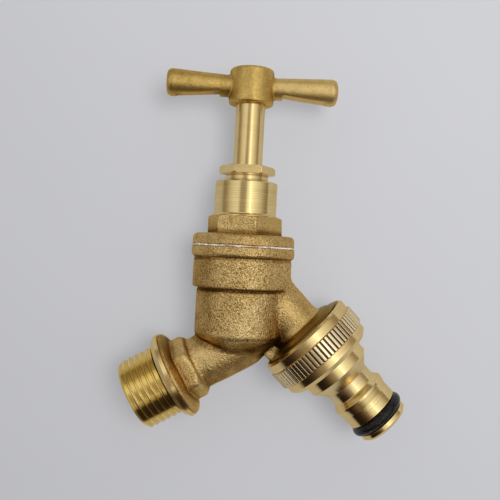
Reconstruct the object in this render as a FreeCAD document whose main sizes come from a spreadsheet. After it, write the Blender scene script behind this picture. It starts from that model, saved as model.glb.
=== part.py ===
import FreeCAD, Part
import os, re, math

# Garden tap with a crutch handle, a rising-spindle screw-down valve and a screw-on
# quick-connect hose nose.  Millimetres.  Origin: centre of the inlet shoulder's sealing
# face.  The inlet points along -X, +Z is up, the tap's plane of symmetry is XZ.

os.makedirs("parts", exist_ok=True)
doc = FreeCAD.newDocument("garden_tap")
sheet = doc.addObject("Spreadsheet::Sheet", "Params")

SIZES = [
    # --- layout of the three axes
    ("valve_x", 22.4),            # where the spindle axis meets the inlet axis
    ("valve_lean", 30.0),         # spindle axis, degrees from +Z towards +X
    ("outlet_up", 22.5),          # height along the spindle axis where the outlet axis crosses it
    ("outlet_turn", 165.0),       # outlet axis, degrees from +Z towards +X
    # --- inlet: G1/2 thread, shoulder, hexagon, tube
    ("inlet_thread_r", 10.4775),
    ("inlet_thread_end", 11.45),
    ("inlet_thread_cham", 1.0),
    ("inlet_relief_r", 9.4),
    ("inlet_relief_w", 0.6),
    ("shoulder_face_r", 11.6),
    ("shoulder_r", 12.8),
    ("shoulder_cham", 1.3),
    ("shoulder_w", 4.05),
    ("inlet_hex_af", 17.0),
    ("inlet_hex_end", 8.9),
    ("tube_r", 7.7),
    ("tube_end_x", 23.4),
    ("inlet_bore_r", 5.75),
    # --- valve chamber, measured up the spindle axis
    ("chamber_foot", 1.8),
    ("chamber_foot_r", 8.3),
    ("chamber_low", 2.6),
    ("chamber_r", 13.05),
    ("band_low", 15.7),
    ("band_r", 14.3),
    ("collar_low", 24.9),
    ("collar_r", 15.0),
    ("collar_top", 27.66),
    ("cavity_floor", 8.4),
    ("cavity_r", 10.6),
    ("seat_top", 9.6),
    ("seat_hole_r", 5.0),
    ("seat_out_r", 6.6),
    ("bonnet_thread_r", 11.0),
    ("bonnet_low", 20.6),
    # --- outlet branch and G3/4 outlet thread, measured along the outlet axis
    ("branch_root_r", 7.75),
    ("branch_r", 7.45),
    ("branch_low", 22.5),
    ("outlet_shoulder", 25.9),
    ("outlet_thread_r", 13.2205),
    ("outlet_end", 34.0),
    ("outlet_bore_r", 5.6),
    ("lug_near", 8.2),
    ("lug_far", 12.9),
    ("lug_start", 22.1),
    ("lug_end", 26.3),
    ("lug_w", 4.4),
    # --- bonnet
    ("gasket_top", 28.05),
    ("gasket_r", 14.9),
    ("flange_r", 14.75),
    ("flange_top", 31.3),
    ("flange_round", 1.2),
    ("bonnet_hex_af", 19.5),
    ("bonnet_hex_turn", 42.0),
    ("bonnet_hex_top", 36.6),
    ("tower_r", 8.95),
    ("tower_top", 46.4),
    ("skirt_bore_r", 8.8),
    ("skirt_roof", 22.6),
    ("spindle_screw_r", 5.0),
    ("spindle_screw_gap", 0.05),
    ("screw_bore_low", 23.5),
    ("screw_bore_top", 37.8),
    ("gland_floor", 39.3),
    ("gland_bore_r", 6.15),
    ("stem_gap", 0.05),
    # --- gland
    ("gland_ring_h", 0.8),
    ("packing_h", 1.58),
    ("packing_out_r", 6.1),
    ("packing_gap", 0.02),
    ("gland_nut_low", 43.3),
    ("gland_nut_face", 48.66),
    ("gland_nut_top", 50.9),
    ("gland_nut_af", 14.0),
    # --- spindle
    ("stem_r", 4.2),
    ("spindle_low", 14.65),
    ("foot_r", 4.6),
    ("screw_low", 18.0),
    ("screw_top", 30.4),
    ("jumper_bore_r", 3.05),
    ("jumper_bore_top", 28.6),
    ("square_low", 70.0),
    ("square_side", 5.9),
    ("rivet_low", 78.2),
    ("rivet_r", 4.0),
    ("hub_top", 79.2),
    ("rivet_dome", 0.45),
    # --- crutch handle
    ("handle_turn", 4.6),
    ("hub_low", 68.9),
    ("hub_low_r", 6.2),
    ("hub_r", 6.55),
    ("hub_top_r", 6.45),
    ("hub_edge", 0.7),
    ("arm_up", 74.0),
    ("arm_reach_left", 24.5),
    ("arm_reach_right", 25.1),
    ("arm_root_r", 3.15),
    ("arm_end_r", 4.0),
    ("arm_round", 1.5),
    ("flat_near", 9.2),
    ("flat_far", 21.4),
    ("flat_depth", 2.15),
    ("flat_slope", 6.1),
    # --- jumper valve
    ("washer_low", 9.62),
    ("washer_h", 3.2),
    ("washer_r", 7.6),
    ("plate_top", 14.6),
    ("plate_r", 8.2),
    ("jumper_stem_r", 3.0),
    ("jumper_stem_top", 27.5),
    ("stud_r", 2.0),
    ("stud_low", 7.3),
    ("jumper_nut_af", 7.0),
    ("jumper_nut_low", 7.8),
    # --- quick-connect hose nose
    ("mouth", 26.15),
    ("mouth_r", 14.37),
    ("mouth_cham", 0.7),
    ("thread_gap", 0.05),
    ("knurl_low", 29.2),
    ("knurl_high", 34.6),
    ("knurl_r", 14.86),
    ("rim_r", 14.05),
    ("rim_cham", 1.25),
    ("ring_end", 37.95),
    ("seat_face", 36.02),
    ("step_r", 9.98),
    ("step_end", 41.4),
    ("neck_r", 7.02),
    ("neck_low", 44.9),
    ("neck_high", 48.2),
    ("catch_r", 8.34),
    ("catch_low", 49.8),
    ("catch_high", 50.4),
    ("nose_r", 7.9),
    ("nose_low", 52.5),
    ("nose_high", 56.1),
    ("groove_low", 56.4),
    ("groove_high", 59.65),
    ("groove_r", 5.4),
    ("tip_r", 7.7),
    ("tip_end", 61.8),
    ("tip_cham", 0.8),
    ("nose_bore_r", 4.4),
    ("inner_bore_r", 5.6),
    ("inner_bore_end", 42.0),
    ("o_ring_mid", 58.02),
    ("o_ring_sec", 1.58),
    ("o_ring_r", 6.98),
    ("hose_washer_low", 34.02),
    ("hose_washer_h", 1.98),
    ("hose_washer_in", 6.2),
    ("hose_washer_out", 12.9),
]
V = {}
for row, (name, number) in enumerate(SIZES, start=1):
    sheet.set("A%d" % row, name)
    sheet.set("B%d" % row, repr(number))
    sheet.setAlias("B%d" % row, name)
    V[name] = number
doc.recompute()

TOKEN = re.compile(r"([+-]?)\s*([A-Za-z_]\w*|[0-9.]+)")


def num(text):
    total = 0.0
    for sign, word in TOKEN.findall(text):
        value = float(word) if word[0].isdigit() else V[word]
        total += -value if sign == "-" else value
    return total


def bound(text):
    return re.sub(r"[A-Za-z_]\w*", lambda m: "Params." + m.group(0), text)


def origin_feature(body, role):
    for feature in body.Origin.OriginFeatures:
        if feature.Role == role:
            return feature
    raise RuntimeError(role)


def valve_place(obj, turn=None, up="0", spin=0.0):
    """Stand an object on the spindle axis, local +Z up the spindle."""
    lean = math.radians(V["valve_lean"])
    rot = FreeCAD.Rotation(FreeCAD.Vector(0, 1, 0), V["valve_lean"])
    about = spin + (V[turn] if turn is not None else 0.0)
    if about:
        rot = rot.multiply(FreeCAD.Rotation(FreeCAD.Vector(0, 0, 1), about))
    obj.Placement = FreeCAD.Placement(
        FreeCAD.Vector(V["valve_x"] + num(up) * math.sin(lean), 0, num(up) * math.cos(lean)), rot)
    if up == "0":
        obj.setExpression("Placement.Base.x", "Params.valve_x")
    else:
        obj.setExpression("Placement.Base.x", "Params.valve_x + (%s) * sin(Params.valve_lean * 1deg)"
                          % bound(up))
        obj.setExpression("Placement.Base.z", "(%s) * cos(Params.valve_lean * 1deg)" % bound(up))


def outlet_place(obj, dx=0.0, dy=0.0, dz=0.0):
    """Stand an object on the outlet axis, local +Z down the outlet."""
    lean = math.radians(V["valve_lean"])
    rot = FreeCAD.Rotation(FreeCAD.Vector(0, 1, 0), V["outlet_turn"])
    base = FreeCAD.Vector(V["valve_x"] + V["outlet_up"] * math.sin(lean), 0,
                          V["outlet_up"] * math.cos(lean))
    base = base + rot.multVec(FreeCAD.Vector(dx, dy, dz))
    obj.Placement = FreeCAD.Placement(base, rot)
    if dx == dy == dz == 0.0:
        obj.setExpression("Placement.Base.x",
                          "Params.valve_x + Params.outlet_up * sin(Params.valve_lean * 1deg)")
        obj.setExpression("Placement.Base.z", "Params.outlet_up * cos(Params.valve_lean * 1deg)")


def inlet_place(obj):
    """Lay an object on the inlet axis, local +Z out of the inlet."""
    obj.Placement = FreeCAD.Placement(FreeCAD.Vector(0, 0, 0),
                                      FreeCAD.Rotation(FreeCAD.Vector(0, 1, 0), -90))


def turned(label, points, axis="V_Axis"):
    """A turned piece: a closed outline of (radius, station) in the body's XZ plane,
    every corner bound to the sheet, turned about the local Z axis (or X axis)."""
    body = doc.addObject("PartDesign::Body", label)
    body.Label = label
    sketch = body.newObject("Sketcher::SketchObject", label + "_outline")
    sketch.AttachmentSupport = [(origin_feature(body, "XZ_Plane"), "")]
    sketch.MapMode = "FlatFace"
    spots = [FreeCAD.Vector(num(a), num(b), 0) for a, b in points]
    count = len(spots)
    for i in range(count):
        sketch.addGeometry(Part.LineSegment(spots[i], spots[(i + 1) % count]), False)
    for i in range(count):
        sketch.addConstraint(Sketcher.Constraint("Coincident", i, 2, (i + 1) % count, 1))
    for i, (a, b) in enumerate(points):
        flat_a, flat_b = abs(num(a)) < 1e-9, abs(num(b)) < 1e-9
        if flat_a and flat_b:
            sketch.addConstraint(Sketcher.Constraint("Coincident", i, 1, -1, 1))
            continue
        if flat_a:
            sketch.addConstraint(Sketcher.Constraint("PointOnObject", i, 1, -2))
        else:
            k = sketch.addConstraint(Sketcher.Constraint("DistanceX", -1, 1, i, 1, num(a)))
            sketch.setExpression("Constraints[%d]" % k, bound(a))
        if flat_b:
            sketch.addConstraint(Sketcher.Constraint("PointOnObject", i, 1, -1))
        else:
            k = sketch.addConstraint(Sketcher.Constraint("DistanceY", -1, 1, i, 1, num(b)))
            sketch.setExpression("Constraints[%d]" % k, bound(b))
    turn = body.newObject("PartDesign::Revolution", label + "_turning")
    turn.Profile = sketch
    turn.ReferenceAxis = (sketch, [axis])
    turn.Angle = 360.0
    sketch.Visibility = False
    body.Tip = turn
    return body


def prism(label, af, low, high, sides=6):
    """Straight bar with flats; af = distance across flats."""
    bar = doc.addObject("Part::Prism", label)
    bar.Polygon = sides
    half = 180.0 / sides
    bar.Circumradius = V[af] / 2 / math.cos(math.radians(half))
    bar.setExpression("Circumradius", "Params.%s / 2 / cos(%gdeg)" % (af, half))
    bar.Height = num(high) - num(low)
    bar.setExpression("Height", bound(high) + " - (" + bound(low) + ")")
    return bar


def lift(obj, station, turn=0.0):
    """Move an object up its own axis and turn it about that axis."""
    p = obj.Placement
    obj.Placement = p.multiply(FreeCAD.Placement(
        FreeCAD.Vector(0, 0, station), FreeCAD.Rotation(FreeCAD.Vector(0, 0, 1), turn)))


def common(label, a, b):
    obj = doc.addObject("Part::Common", label)
    obj.Base, obj.Tool = a, b
    return obj


def fuse(label, *items):
    obj = doc.addObject("Part::MultiFuse", label)
    obj.Shapes = list(items)
    obj.Refine = True
    return obj


def cut(label, a, b):
    obj = doc.addObject("Part::Cut", label)
    obj.Base, obj.Tool = a, b
    return obj


import Sketcher

nodes = []


def node(obj, label):
    obj.Label = label
    nodes.append((label, obj))


# ---------------------------------------------------------------- tap body (one casting)
inlet_outside = turned("inlet_outside", [
    ("0", "inlet_thread_end"), ("inlet_thread_r-inlet_thread_cham", "inlet_thread_end"),
    ("inlet_thread_r", "inlet_thread_end-inlet_thread_cham"), ("inlet_thread_r", "inlet_relief_w"),
    ("inlet_relief_r", "inlet_relief_w"), ("inlet_relief_r", "0"), ("shoulder_face_r", "0"),
    ("shoulder_r", "-shoulder_cham"), ("shoulder_r", "-shoulder_w+0.35"),
    ("shoulder_r-0.45", "-shoulder_w"), ("tube_r+0.9", "-shoulder_w-0.6"),
    ("tube_r+0.9", "-inlet_hex_end+0.3"), ("tube_r", "-inlet_hex_end-0.5"),
    ("tube_r", "-tube_end_x"), ("0", "-tube_end_x")])
inlet_place(inlet_outside)
tube_dome = doc.addObject("Part::Sphere", "tube_dome")
tube_dome.Radius = V["tube_r"]
tube_dome.setExpression("Radius", "Params.tube_r")
tube_dome.Placement.Base = FreeCAD.Vector(V["tube_end_x"], 0, 0)
tube_dome.setExpression("Placement.Base.x", "Params.tube_end_x")

inlet_hex_bar = prism("inlet_hex_bar", "inlet_hex_af", "shoulder_w-0.3", "inlet_hex_end")
inlet_place(inlet_hex_bar)
lift(inlet_hex_bar, -V["inlet_hex_end"])
inlet_hex_limit = turned("inlet_hex_limit", [
    ("0", "-shoulder_w+0.3"), ("inlet_hex_af-7.45", "-shoulder_w+0.3"),
    ("inlet_hex_af-7.45", "-inlet_hex_end+1.2"), ("inlet_hex_af-8.6", "-inlet_hex_end"),
    ("0", "-inlet_hex_end")])
inlet_place(inlet_hex_limit)
inlet_hex = common("inlet_hex", inlet_hex_bar, inlet_hex_limit)

chamber_outside = turned("chamber_outside", [
    ("0", "-chamber_foot"), ("chamber_foot_r", "-chamber_foot"),
    ("chamber_r-0.7", "chamber_low-1.1"), ("chamber_r", "chamber_low"),
    ("chamber_r", "band_low"), ("band_r-0.3", "band_low"), ("band_r", "band_low+0.35"),
    ("band_r", "collar_low-0.45"), ("collar_r-0.2", "collar_low"),
    ("collar_r", "collar_low+0.35"), ("collar_r", "collar_top-0.9"),
    ("collar_r-0.25", "collar_top-0.3"), ("collar_r-0.8", "collar_top"), ("0", "collar_top")])
valve_place(chamber_outside)

outlet_outside = turned("outlet_outside", [
    ("0", "3"), ("branch_root_r", "3"), ("branch_r", "branch_low"), ("branch_r+0.35", "branch_low+1.4"),
    ("branch_r+1.3", "branch_low+2.4"), ("branch_r+3.0", "branch_low+3.1"),
    ("outlet_thread_r-0.5", "outlet_shoulder"), ("outlet_thread_r", "outlet_shoulder+0.5"),
    ("outlet_thread_r", "outlet_end-0.6"), ("outlet_thread_r-0.6", "outlet_end"),
    ("0", "outlet_end")])
outlet_place(outlet_outside)

lug = doc.addObject("Part::Box", "casting_lug")
lug.setExpression("Length", "Params.lug_far - Params.lug_near")
lug.setExpression("Width", "Params.lug_w")
lug.setExpression("Height", "Params.lug_end - Params.lug_start")
outlet_place(lug, V["lug_near"], -V["lug_w"] / 2, V["lug_start"])

body_outside = fuse("body_outside", inlet_outside, tube_dome, inlet_hex, chamber_outside,
                    outlet_outside, lug)

inlet_way = turned("inlet_way", [
    ("0", "inlet_thread_end+1"), ("inlet_bore_r+0.8", "inlet_thread_end+1"),
    ("inlet_bore_r+0.8", "inlet_thread_end"), ("inlet_bore_r", "inlet_thread_end-0.8"),
    ("inlet_bore_r", "-tube_end_x"), ("0", "-tube_end_x")])
inlet_place(inlet_way)
inlet_way_end = doc.addObject("Part::Sphere", "inlet_way_end")
inlet_way_end.Radius = V["inlet_bore_r"]
inlet_way_end.setExpression("Radius", "Params.inlet_bore_r")
inlet_way_end.Placement.Base = FreeCAD.Vector(V["tube_end_x"], 0, 0)
inlet_way_end.setExpression("Placement.Base.x", "Params.tube_end_x")
valve_cavity = turned("valve_cavity", [
    ("0", "0.3"), ("seat_hole_r", "0.3"), ("seat_hole_r", "seat_top-0.3"),
    ("seat_hole_r+0.3", "seat_top"), ("seat_out_r-0.4", "seat_top"), ("seat_out_r", "cavity_floor"),
    ("cavity_r-0.6", "cavity_floor"), ("cavity_r", "cavity_floor+0.6"),
    ("cavity_r", "bonnet_low-0.4"), ("bonnet_thread_r", "bonnet_low"),
    ("bonnet_thread_r", "collar_top+1"), ("0", "collar_top+1")])
valve_place(valve_cavity)
outlet_way = turned("outlet_way", [
    ("0", "5"), ("outlet_bore_r", "5"), ("outlet_bore_r", "outlet_end-0.4"),
    ("outlet_bore_r+0.4", "outlet_end"), ("outlet_bore_r+0.4", "outlet_end+1"),
    ("0", "outlet_end+1")])
outlet_place(outlet_way)
waterways = fuse("waterways", inlet_way, inlet_way_end, valve_cavity, outlet_way)
node(cut("tap_body", body_outside, waterways), "tap_body")

# ---------------------------------------------------------------- bonnet and its gasket
gasket = turned("bonnet_gasket", [
    ("bonnet_thread_r", "collar_top"), ("gasket_r", "collar_top"),
    ("gasket_r", "gasket_top"), ("bonnet_thread_r", "gasket_top")])
valve_place(gasket)
node(gasket, "bonnet_gasket")

bonnet_core = turned("bonnet_core", [
    ("skirt_bore_r", "bonnet_low"), ("bonnet_thread_r-0.6", "bonnet_low"),
    ("bonnet_thread_r", "bonnet_low+0.6"), ("bonnet_thread_r", "gasket_top"),
    ("flange_r-0.3", "gasket_top"), ("flange_r", "gasket_top+0.3"),
    ("flange_r", "flange_top-flange_round"), ("flange_r-0.35", "flange_top-0.35"),
    ("flange_r-flange_round", "flange_top"), ("tower_r+0.5", "flange_top"),
    ("tower_r+0.5", "bonnet_hex_top-0.1"), ("tower_r", "bonnet_hex_top+0.4"),
    ("tower_r", "tower_top-0.3"), ("tower_r-0.3", "tower_top"),
    ("gland_bore_r+0.3", "tower_top"), ("gland_bore_r", "tower_top-0.3"),
    ("gland_bore_r", "gland_floor"), ("stem_r+stem_gap", "gland_floor"),
    ("stem_r+stem_gap", "screw_bore_top"), ("spindle_screw_r+spindle_screw_gap", "screw_bore_top"),
    ("spindle_screw_r+spindle_screw_gap", "screw_bore_low"), ("skirt_bore_r", "skirt_roof")])
valve_place(bonnet_core)
bonnet_hex_bar = prism("bonnet_hex_bar", "bonnet_hex_af", "flange_top-0.2", "bonnet_hex_top")
valve_place(bonnet_hex_bar, up="flange_top-0.2", spin=-90.0 - V["bonnet_hex_turn"])
bonnet_hex_limit = turned("bonnet_hex_limit", [
    ("gland_bore_r+0.6", "flange_top-0.2"), ("bonnet_hex_af-8.15", "flange_top-0.2"),
    ("bonnet_hex_af-8.15", "bonnet_hex_top-0.7"), ("bonnet_hex_af-9.3", "bonnet_hex_top"),
    ("gland_bore_r+0.6", "bonnet_hex_top")])
valve_place(bonnet_hex_limit)
bonnet_hex = common("bonnet_hex", bonnet_hex_bar, bonnet_hex_limit)
node(fuse("bonnet", bonnet_core, bonnet_hex), "bonnet")

# ---------------------------------------------------------------- gland: ring, packing, nut
gland_ring = turned("gland_ring", [
    ("stem_r+stem_gap", "gland_floor"), ("packing_out_r", "gland_floor"),
    ("packing_out_r", "gland_floor+gland_ring_h"), ("stem_r+stem_gap", "gland_floor+gland_ring_h")])
valve_place(gland_ring)
node(gland_ring, "gland_ring")

packing_low = turned("packing_low", [
    ("stem_r+packing_gap", "gland_floor+gland_ring_h"), ("packing_out_r", "gland_floor+gland_ring_h"),
    ("packing_out_r", "gland_floor+gland_ring_h+packing_h"),
    ("stem_r+packing_gap", "gland_floor+gland_ring_h+packing_h")])
valve_place(packing_low)
packing_high = turned("packing_high", [
    ("stem_r+packing_gap", "gland_nut_low-packing_h"), ("packing_out_r", "gland_nut_low-packing_h"),
    ("packing_out_r", "gland_nut_low"), ("stem_r+packing_gap", "gland_nut_low")])
valve_place(packing_high)
packing = doc.addObject("Part::Compound", "gland_packing")
packing.Links = [packing_low, packing_high]
node(packing, "gland_packing")

gland_core = turned("gland_core", [
    ("stem_r+stem_gap", "gland_nut_low"), ("gland_bore_r-0.4", "gland_nut_low"),
    ("gland_bore_r", "gland_nut_low+0.4"), ("gland_bore_r", "gland_nut_face+0.1"),
    ("gland_nut_af-7.4", "gland_nut_face+0.1"), ("gland_nut_af-7.4", "gland_nut_top"),
    ("stem_r+stem_gap+0.3", "gland_nut_top"), ("stem_r+stem_gap", "gland_nut_top-0.3")])
valve_place(gland_core)
gland_hex_bar = prism("gland_hex_bar", "gland_nut_af", "gland_nut_face", "gland_nut_top")
valve_place(gland_hex_bar, up="gland_nut_face", spin=2.0)
gland_hex_limit = turned("gland_hex_limit", [
    ("gland_bore_r-0.5", "gland_nut_face"), ("gland_nut_af-6.25", "gland_nut_face"),
    ("gland_nut_af-5.92", "gland_nut_face+0.3"), ("gland_nut_af-5.92", "gland_nut_top-0.45"),
    ("gland_nut_af-6.5", "gland_nut_top"), ("gland_bore_r-0.5", "gland_nut_top")])
valve_place(gland_hex_limit)
gland_hex = common("gland_hex", gland_hex_bar, gland_hex_limit)
node(fuse("gland_nut", gland_core, gland_hex), "gland_nut")

# ---------------------------------------------------------------- spindle
spindle_shaft = turned("spindle_shaft", [
    ("jumper_bore_r", "spindle_low"), ("foot_r", "spindle_low"), ("foot_r", "screw_low-0.4"),
    ("spindle_screw_r", "screw_low"), ("spindle_screw_r", "screw_top"),
    ("stem_r", "screw_top+0.8"), ("stem_r", "square_low-0.4"), ("stem_r-0.4", "square_low"),
    ("0", "square_low"), ("0", "jumper_bore_top+1.2"), ("jumper_bore_r", "jumper_bore_top")])
valve_place(spindle_shaft)
spindle_square = prism("spindle_square", "square_side", "square_low-0.5", "rivet_low+0.5", 4)
valve_place(spindle_square, "handle_turn", "square_low-0.5", 45.0)
rivet_head = turned("rivet_head", [
    ("0", "rivet_low"), ("rivet_r-1.2", "rivet_low"), ("rivet_r", "hub_top"),
    ("rivet_r-1.0", "hub_top+rivet_dome-0.12"), ("0", "hub_top+rivet_dome")])
valve_place(rivet_head)
node(fuse("spindle", spindle_shaft, spindle_square, rivet_head), "spindle")

# ---------------------------------------------------------------- crutch handle
hub = turned("hub", [
    ("0", "hub_low"), ("hub_low_r", "hub_low"), ("hub_r", "hub_low+0.35"),
    ("hub_top_r", "hub_top-hub_edge"), ("hub_top_r-hub_edge", "hub_top"), ("0", "hub_top")])
valve_place(hub, "handle_turn")
arms = turned("arms", [
    ("-arm_reach_left", "0"), ("-arm_reach_left", "arm_end_r-arm_round"),
    ("-arm_reach_left+0.45", "arm_end_r-0.45"), ("-arm_reach_left+arm_round", "arm_end_r"),
    ("-hub_top_r+0.5", "arm_root_r"), ("hub_top_r-0.5", "arm_root_r"),
    ("arm_reach_right-arm_round", "arm_end_r"), ("arm_reach_right-0.45", "arm_end_r-0.45"),
    ("arm_reach_right", "arm_end_r-arm_round"), ("arm_reach_right", "0")], axis="H_Axis")
valve_place(arms, "handle_turn", "arm_up")
handle_outside = fuse("handle_outside", hub, arms)
hub_counterbore = turned("hub_counterbore", [
    ("0", "hub_low-1"), ("stem_r", "hub_low-1"), ("stem_r", "square_low-0.4"),
    ("stem_r-0.4", "square_low"), ("0", "square_low")])
valve_place(hub_counterbore)
hub_square = prism("hub_square", "square_side", "square_low-0.5", "rivet_low+0.5", 4)
valve_place(hub_square, "handle_turn", "square_low-0.5", 45.0)
hub_countersink = turned("hub_countersink", [
    ("0", "rivet_low"), ("rivet_r-1.2", "rivet_low"), ("rivet_r", "hub_top"),
    ("rivet_r", "hub_top+1"), ("0", "hub_top+1")])
valve_place(hub_countersink)



def thumb_flat(label, side):
    """The flat on the underside of an arm: a box whose top face is the flat."""
    box = doc.addObject("Part::Box", label)
    box.setExpression("Length", "(Params.flat_far - Params.flat_near) / cos(Params.flat_slope * 1deg)")
    box.Width, box.Height = 12, 4
    valve_place(box, "handle_turn", "arm_up", 0.0 if side > 0 else 180.0)
    slope = FreeCAD.Rotation(FreeCAD.Vector(0, 1, 0), V["flat_slope"])
    corner = FreeCAD.Vector(V["flat_near"], 0, -V["flat_depth"]) + slope.multVec(
        FreeCAD.Vector(0, -6, -4))
    base = box.Placement.multVec(corner)
    turn = box.Placement.Rotation.multiply(slope)
    box.setExpression("Placement.Base.x", None)
    box.setExpression("Placement.Base.z", None)
    box.Placement = FreeCAD.Placement(base, turn)
    return box


flat_left = thumb_flat("thumb_flat_left", -1)
flat_right = thumb_flat("thumb_flat_right", 1)
handle_hole = fuse("handle_hole", hub_counterbore, hub_square, hub_countersink, flat_left, flat_right)
node(cut("crutch_handle", handle_outside, handle_hole), "crutch_handle")

# ---------------------------------------------------------------- jumper valve
jumper = turned("jumper_valve", [
    ("0", "stud_low"), ("stud_r-0.3", "stud_low"), ("stud_r", "stud_low+0.3"),
    ("stud_r", "washer_low+washer_h"), ("plate_r-0.4", "washer_low+washer_h"),
    ("plate_r", "washer_low+washer_h+0.4"), ("plate_r", "plate_top-0.5"),
    ("plate_r-0.5", "plate_top"), ("jumper_stem_r", "plate_top"),
    ("jumper_stem_r", "jumper_stem_top-0.5"), ("jumper_stem_r-0.5", "jumper_stem_top"),
    ("0", "jumper_stem_top")])
valve_place(jumper)
node(jumper, "jumper_valve")
jumper_washer = turned("jumper_washer", [
    ("stud_r", "washer_low"), ("washer_r-0.4", "washer_low"), ("washer_r", "washer_low+0.4"),
    ("washer_r", "washer_low+washer_h"), ("stud_r", "washer_low+washer_h")])
valve_place(jumper_washer)
node(jumper_washer, "jumper_washer")
jumper_nut_bar = prism("jumper_nut_bar", "jumper_nut_af", "jumper_nut_low", "washer_low")
valve_place(jumper_nut_bar, up="jumper_nut_low")
jumper_nut_limit = turned("jumper_nut_limit", [
    ("stud_r", "jumper_nut_low"), ("jumper_nut_af-3.4", "jumper_nut_low"),
    ("jumper_nut_af-2.95", "jumper_nut_low+0.45"), ("jumper_nut_af-2.95", "washer_low"),
    ("stud_r", "washer_low")])
valve_place(jumper_nut_limit)
node(common("jumper_nut", jumper_nut_bar, jumper_nut_limit), "jumper_nut")

# ---------------------------------------------------------------- quick-connect hose nose
hose_nose = turned("hose_connector", [
    ("outlet_thread_r+thread_gap", "mouth"), ("mouth_r-mouth_cham", "mouth"),
    ("mouth_r", "mouth+mouth_cham"), ("mouth_r", "knurl_low"), ("knurl_r", "knurl_low+0.3"),
    ("knurl_r", "knurl_high-0.3"), ("rim_r", "knurl_high"), ("rim_r", "ring_end-rim_cham"),
    ("rim_r-rim_cham", "ring_end"), ("step_r", "ring_end"), ("step_r", "step_end"),
    ("neck_r", "neck_low"), ("neck_r", "neck_high"), ("catch_r", "catch_low"),
    ("catch_r", "catch_high"), ("nose_r", "nose_low"), ("nose_r", "nose_high"),
    ("nose_r-0.3", "groove_low"), ("groove_r", "groove_low"), ("groove_r", "groove_high"),
    ("tip_r-0.2", "groove_high"), ("tip_r", "groove_high+0.2"), ("tip_r", "tip_end-tip_cham"),
    ("tip_r-tip_cham", "tip_end"), ("nose_bore_r+0.6", "tip_end"), ("nose_bore_r", "tip_end-0.6"),
    ("nose_bore_r", "inner_bore_end+1.2"), ("inner_bore_r", "inner_bore_end"),
    ("inner_bore_r", "seat_face"), ("outlet_thread_r+thread_gap", "seat_face")])
outlet_place(hose_nose)
node(hose_nose, "hose_connector")

hose_washer = turned("hose_connector_washer", [
    ("hose_washer_in", "hose_washer_low"), ("hose_washer_out", "hose_washer_low"),
    ("hose_washer_out", "hose_washer_low+hose_washer_h"),
    ("hose_washer_in", "hose_washer_low+hose_washer_h")])
outlet_place(hose_washer)
node(hose_washer, "hose_connector_washer")

o_ring = doc.addObject("Part::Torus", "hose_connector_o_ring")
o_ring.Radius1 = V["o_ring_r"]
o_ring.Radius2 = V["o_ring_sec"]
o_ring.setExpression("Radius1", "Params.o_ring_r")
o_ring.setExpression("Radius2", "Params.o_ring_sec")
outlet_place(o_ring, 0, 0, V["o_ring_mid"])
node(o_ring, "hose_connector_o_ring")

doc.recompute()

for obj in doc.Objects:
    state = list(obj.State)
    if "Invalid" in state or "Error" in state:
        raise RuntimeError("%s: %s" % (obj.Label, state))
for label, obj in nodes:
    shape = obj.Shape
    if shape.isNull() or not shape.isValid() or not shape.Solids:
        raise RuntimeError("bad shape: " + label)
    shape.exportStep(os.path.join("parts", label + ".step"))
    box = shape.BoundBox
    print("%-24s solids %d  volume %9.1f  box %6.1f..%6.1f %6.1f..%6.1f %6.1f..%6.1f" % (
        label, len(shape.Solids), shape.Volume, box.XMin, box.XMax, box.YMin, box.YMax,
        box.ZMin, box.ZMax))
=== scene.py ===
# Garden tap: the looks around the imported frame.  Shapes are worked out in millimetres in
# the frame's own axes (inlet along -X, +Z up, plane of symmetry XZ) and written in metres.
import math

import bpy
import numpy as np
from mathutils import Matrix, Vector


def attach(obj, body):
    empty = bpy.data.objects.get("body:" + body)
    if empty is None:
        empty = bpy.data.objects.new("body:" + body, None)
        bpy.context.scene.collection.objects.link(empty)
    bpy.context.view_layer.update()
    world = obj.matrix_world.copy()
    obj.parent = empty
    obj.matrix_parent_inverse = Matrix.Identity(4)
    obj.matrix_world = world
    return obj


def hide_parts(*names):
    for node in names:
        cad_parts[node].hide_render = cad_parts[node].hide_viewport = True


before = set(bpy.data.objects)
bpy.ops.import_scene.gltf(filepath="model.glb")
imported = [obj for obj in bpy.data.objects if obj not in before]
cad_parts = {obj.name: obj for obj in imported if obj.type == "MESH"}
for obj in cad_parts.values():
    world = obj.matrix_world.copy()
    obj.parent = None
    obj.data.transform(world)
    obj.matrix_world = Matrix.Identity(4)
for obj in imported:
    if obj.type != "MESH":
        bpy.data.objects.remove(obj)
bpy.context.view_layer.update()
MM = 0.001

# ------------------------------------------------------------------ axes of the three turned groups
X3, Y3, Z3 = np.eye(3)
VALVE_O = np.array([22.4, 0.0, 0.0])
VALVE_X = np.array([math.cos(math.radians(30)), 0.0, -0.5])
VALVE_A = np.array([0.5, 0.0, math.cos(math.radians(30))])
OUT_O = VALVE_O + 22.5 * VALVE_A
OUT_S = np.array([math.sin(math.radians(165)), 0.0, math.cos(math.radians(165))])
OUT_X = np.array([OUT_S[2], 0.0, -OUT_S[0]])
TURN = math.radians(4.6)
HAND_X = math.cos(TURN) * VALVE_X + math.sin(TURN) * Y3
HAND_Y = np.cross(VALVE_A, HAND_X)
VALVE = (VALVE_O, VALVE_X, Y3, VALVE_A)
OUTLET = (OUT_O, OUT_X, Y3, OUT_S)
INLET = (np.zeros(3), Z3, Y3, -X3)
HANDLE = (VALVE_O, HAND_X, HAND_Y, VALVE_A)


def place(axes):
    o, x, y, z = axes
    m = Matrix.Identity(4)
    for i in range(3):
        m[i][0], m[i][1], m[i][2], m[i][3] = x[i], y[i], z[i], o[i] * MM
    return m


def local(p, axes):
    o, x, y, z = axes
    q = p - o
    return q @ x, q @ y, q @ z


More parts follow.
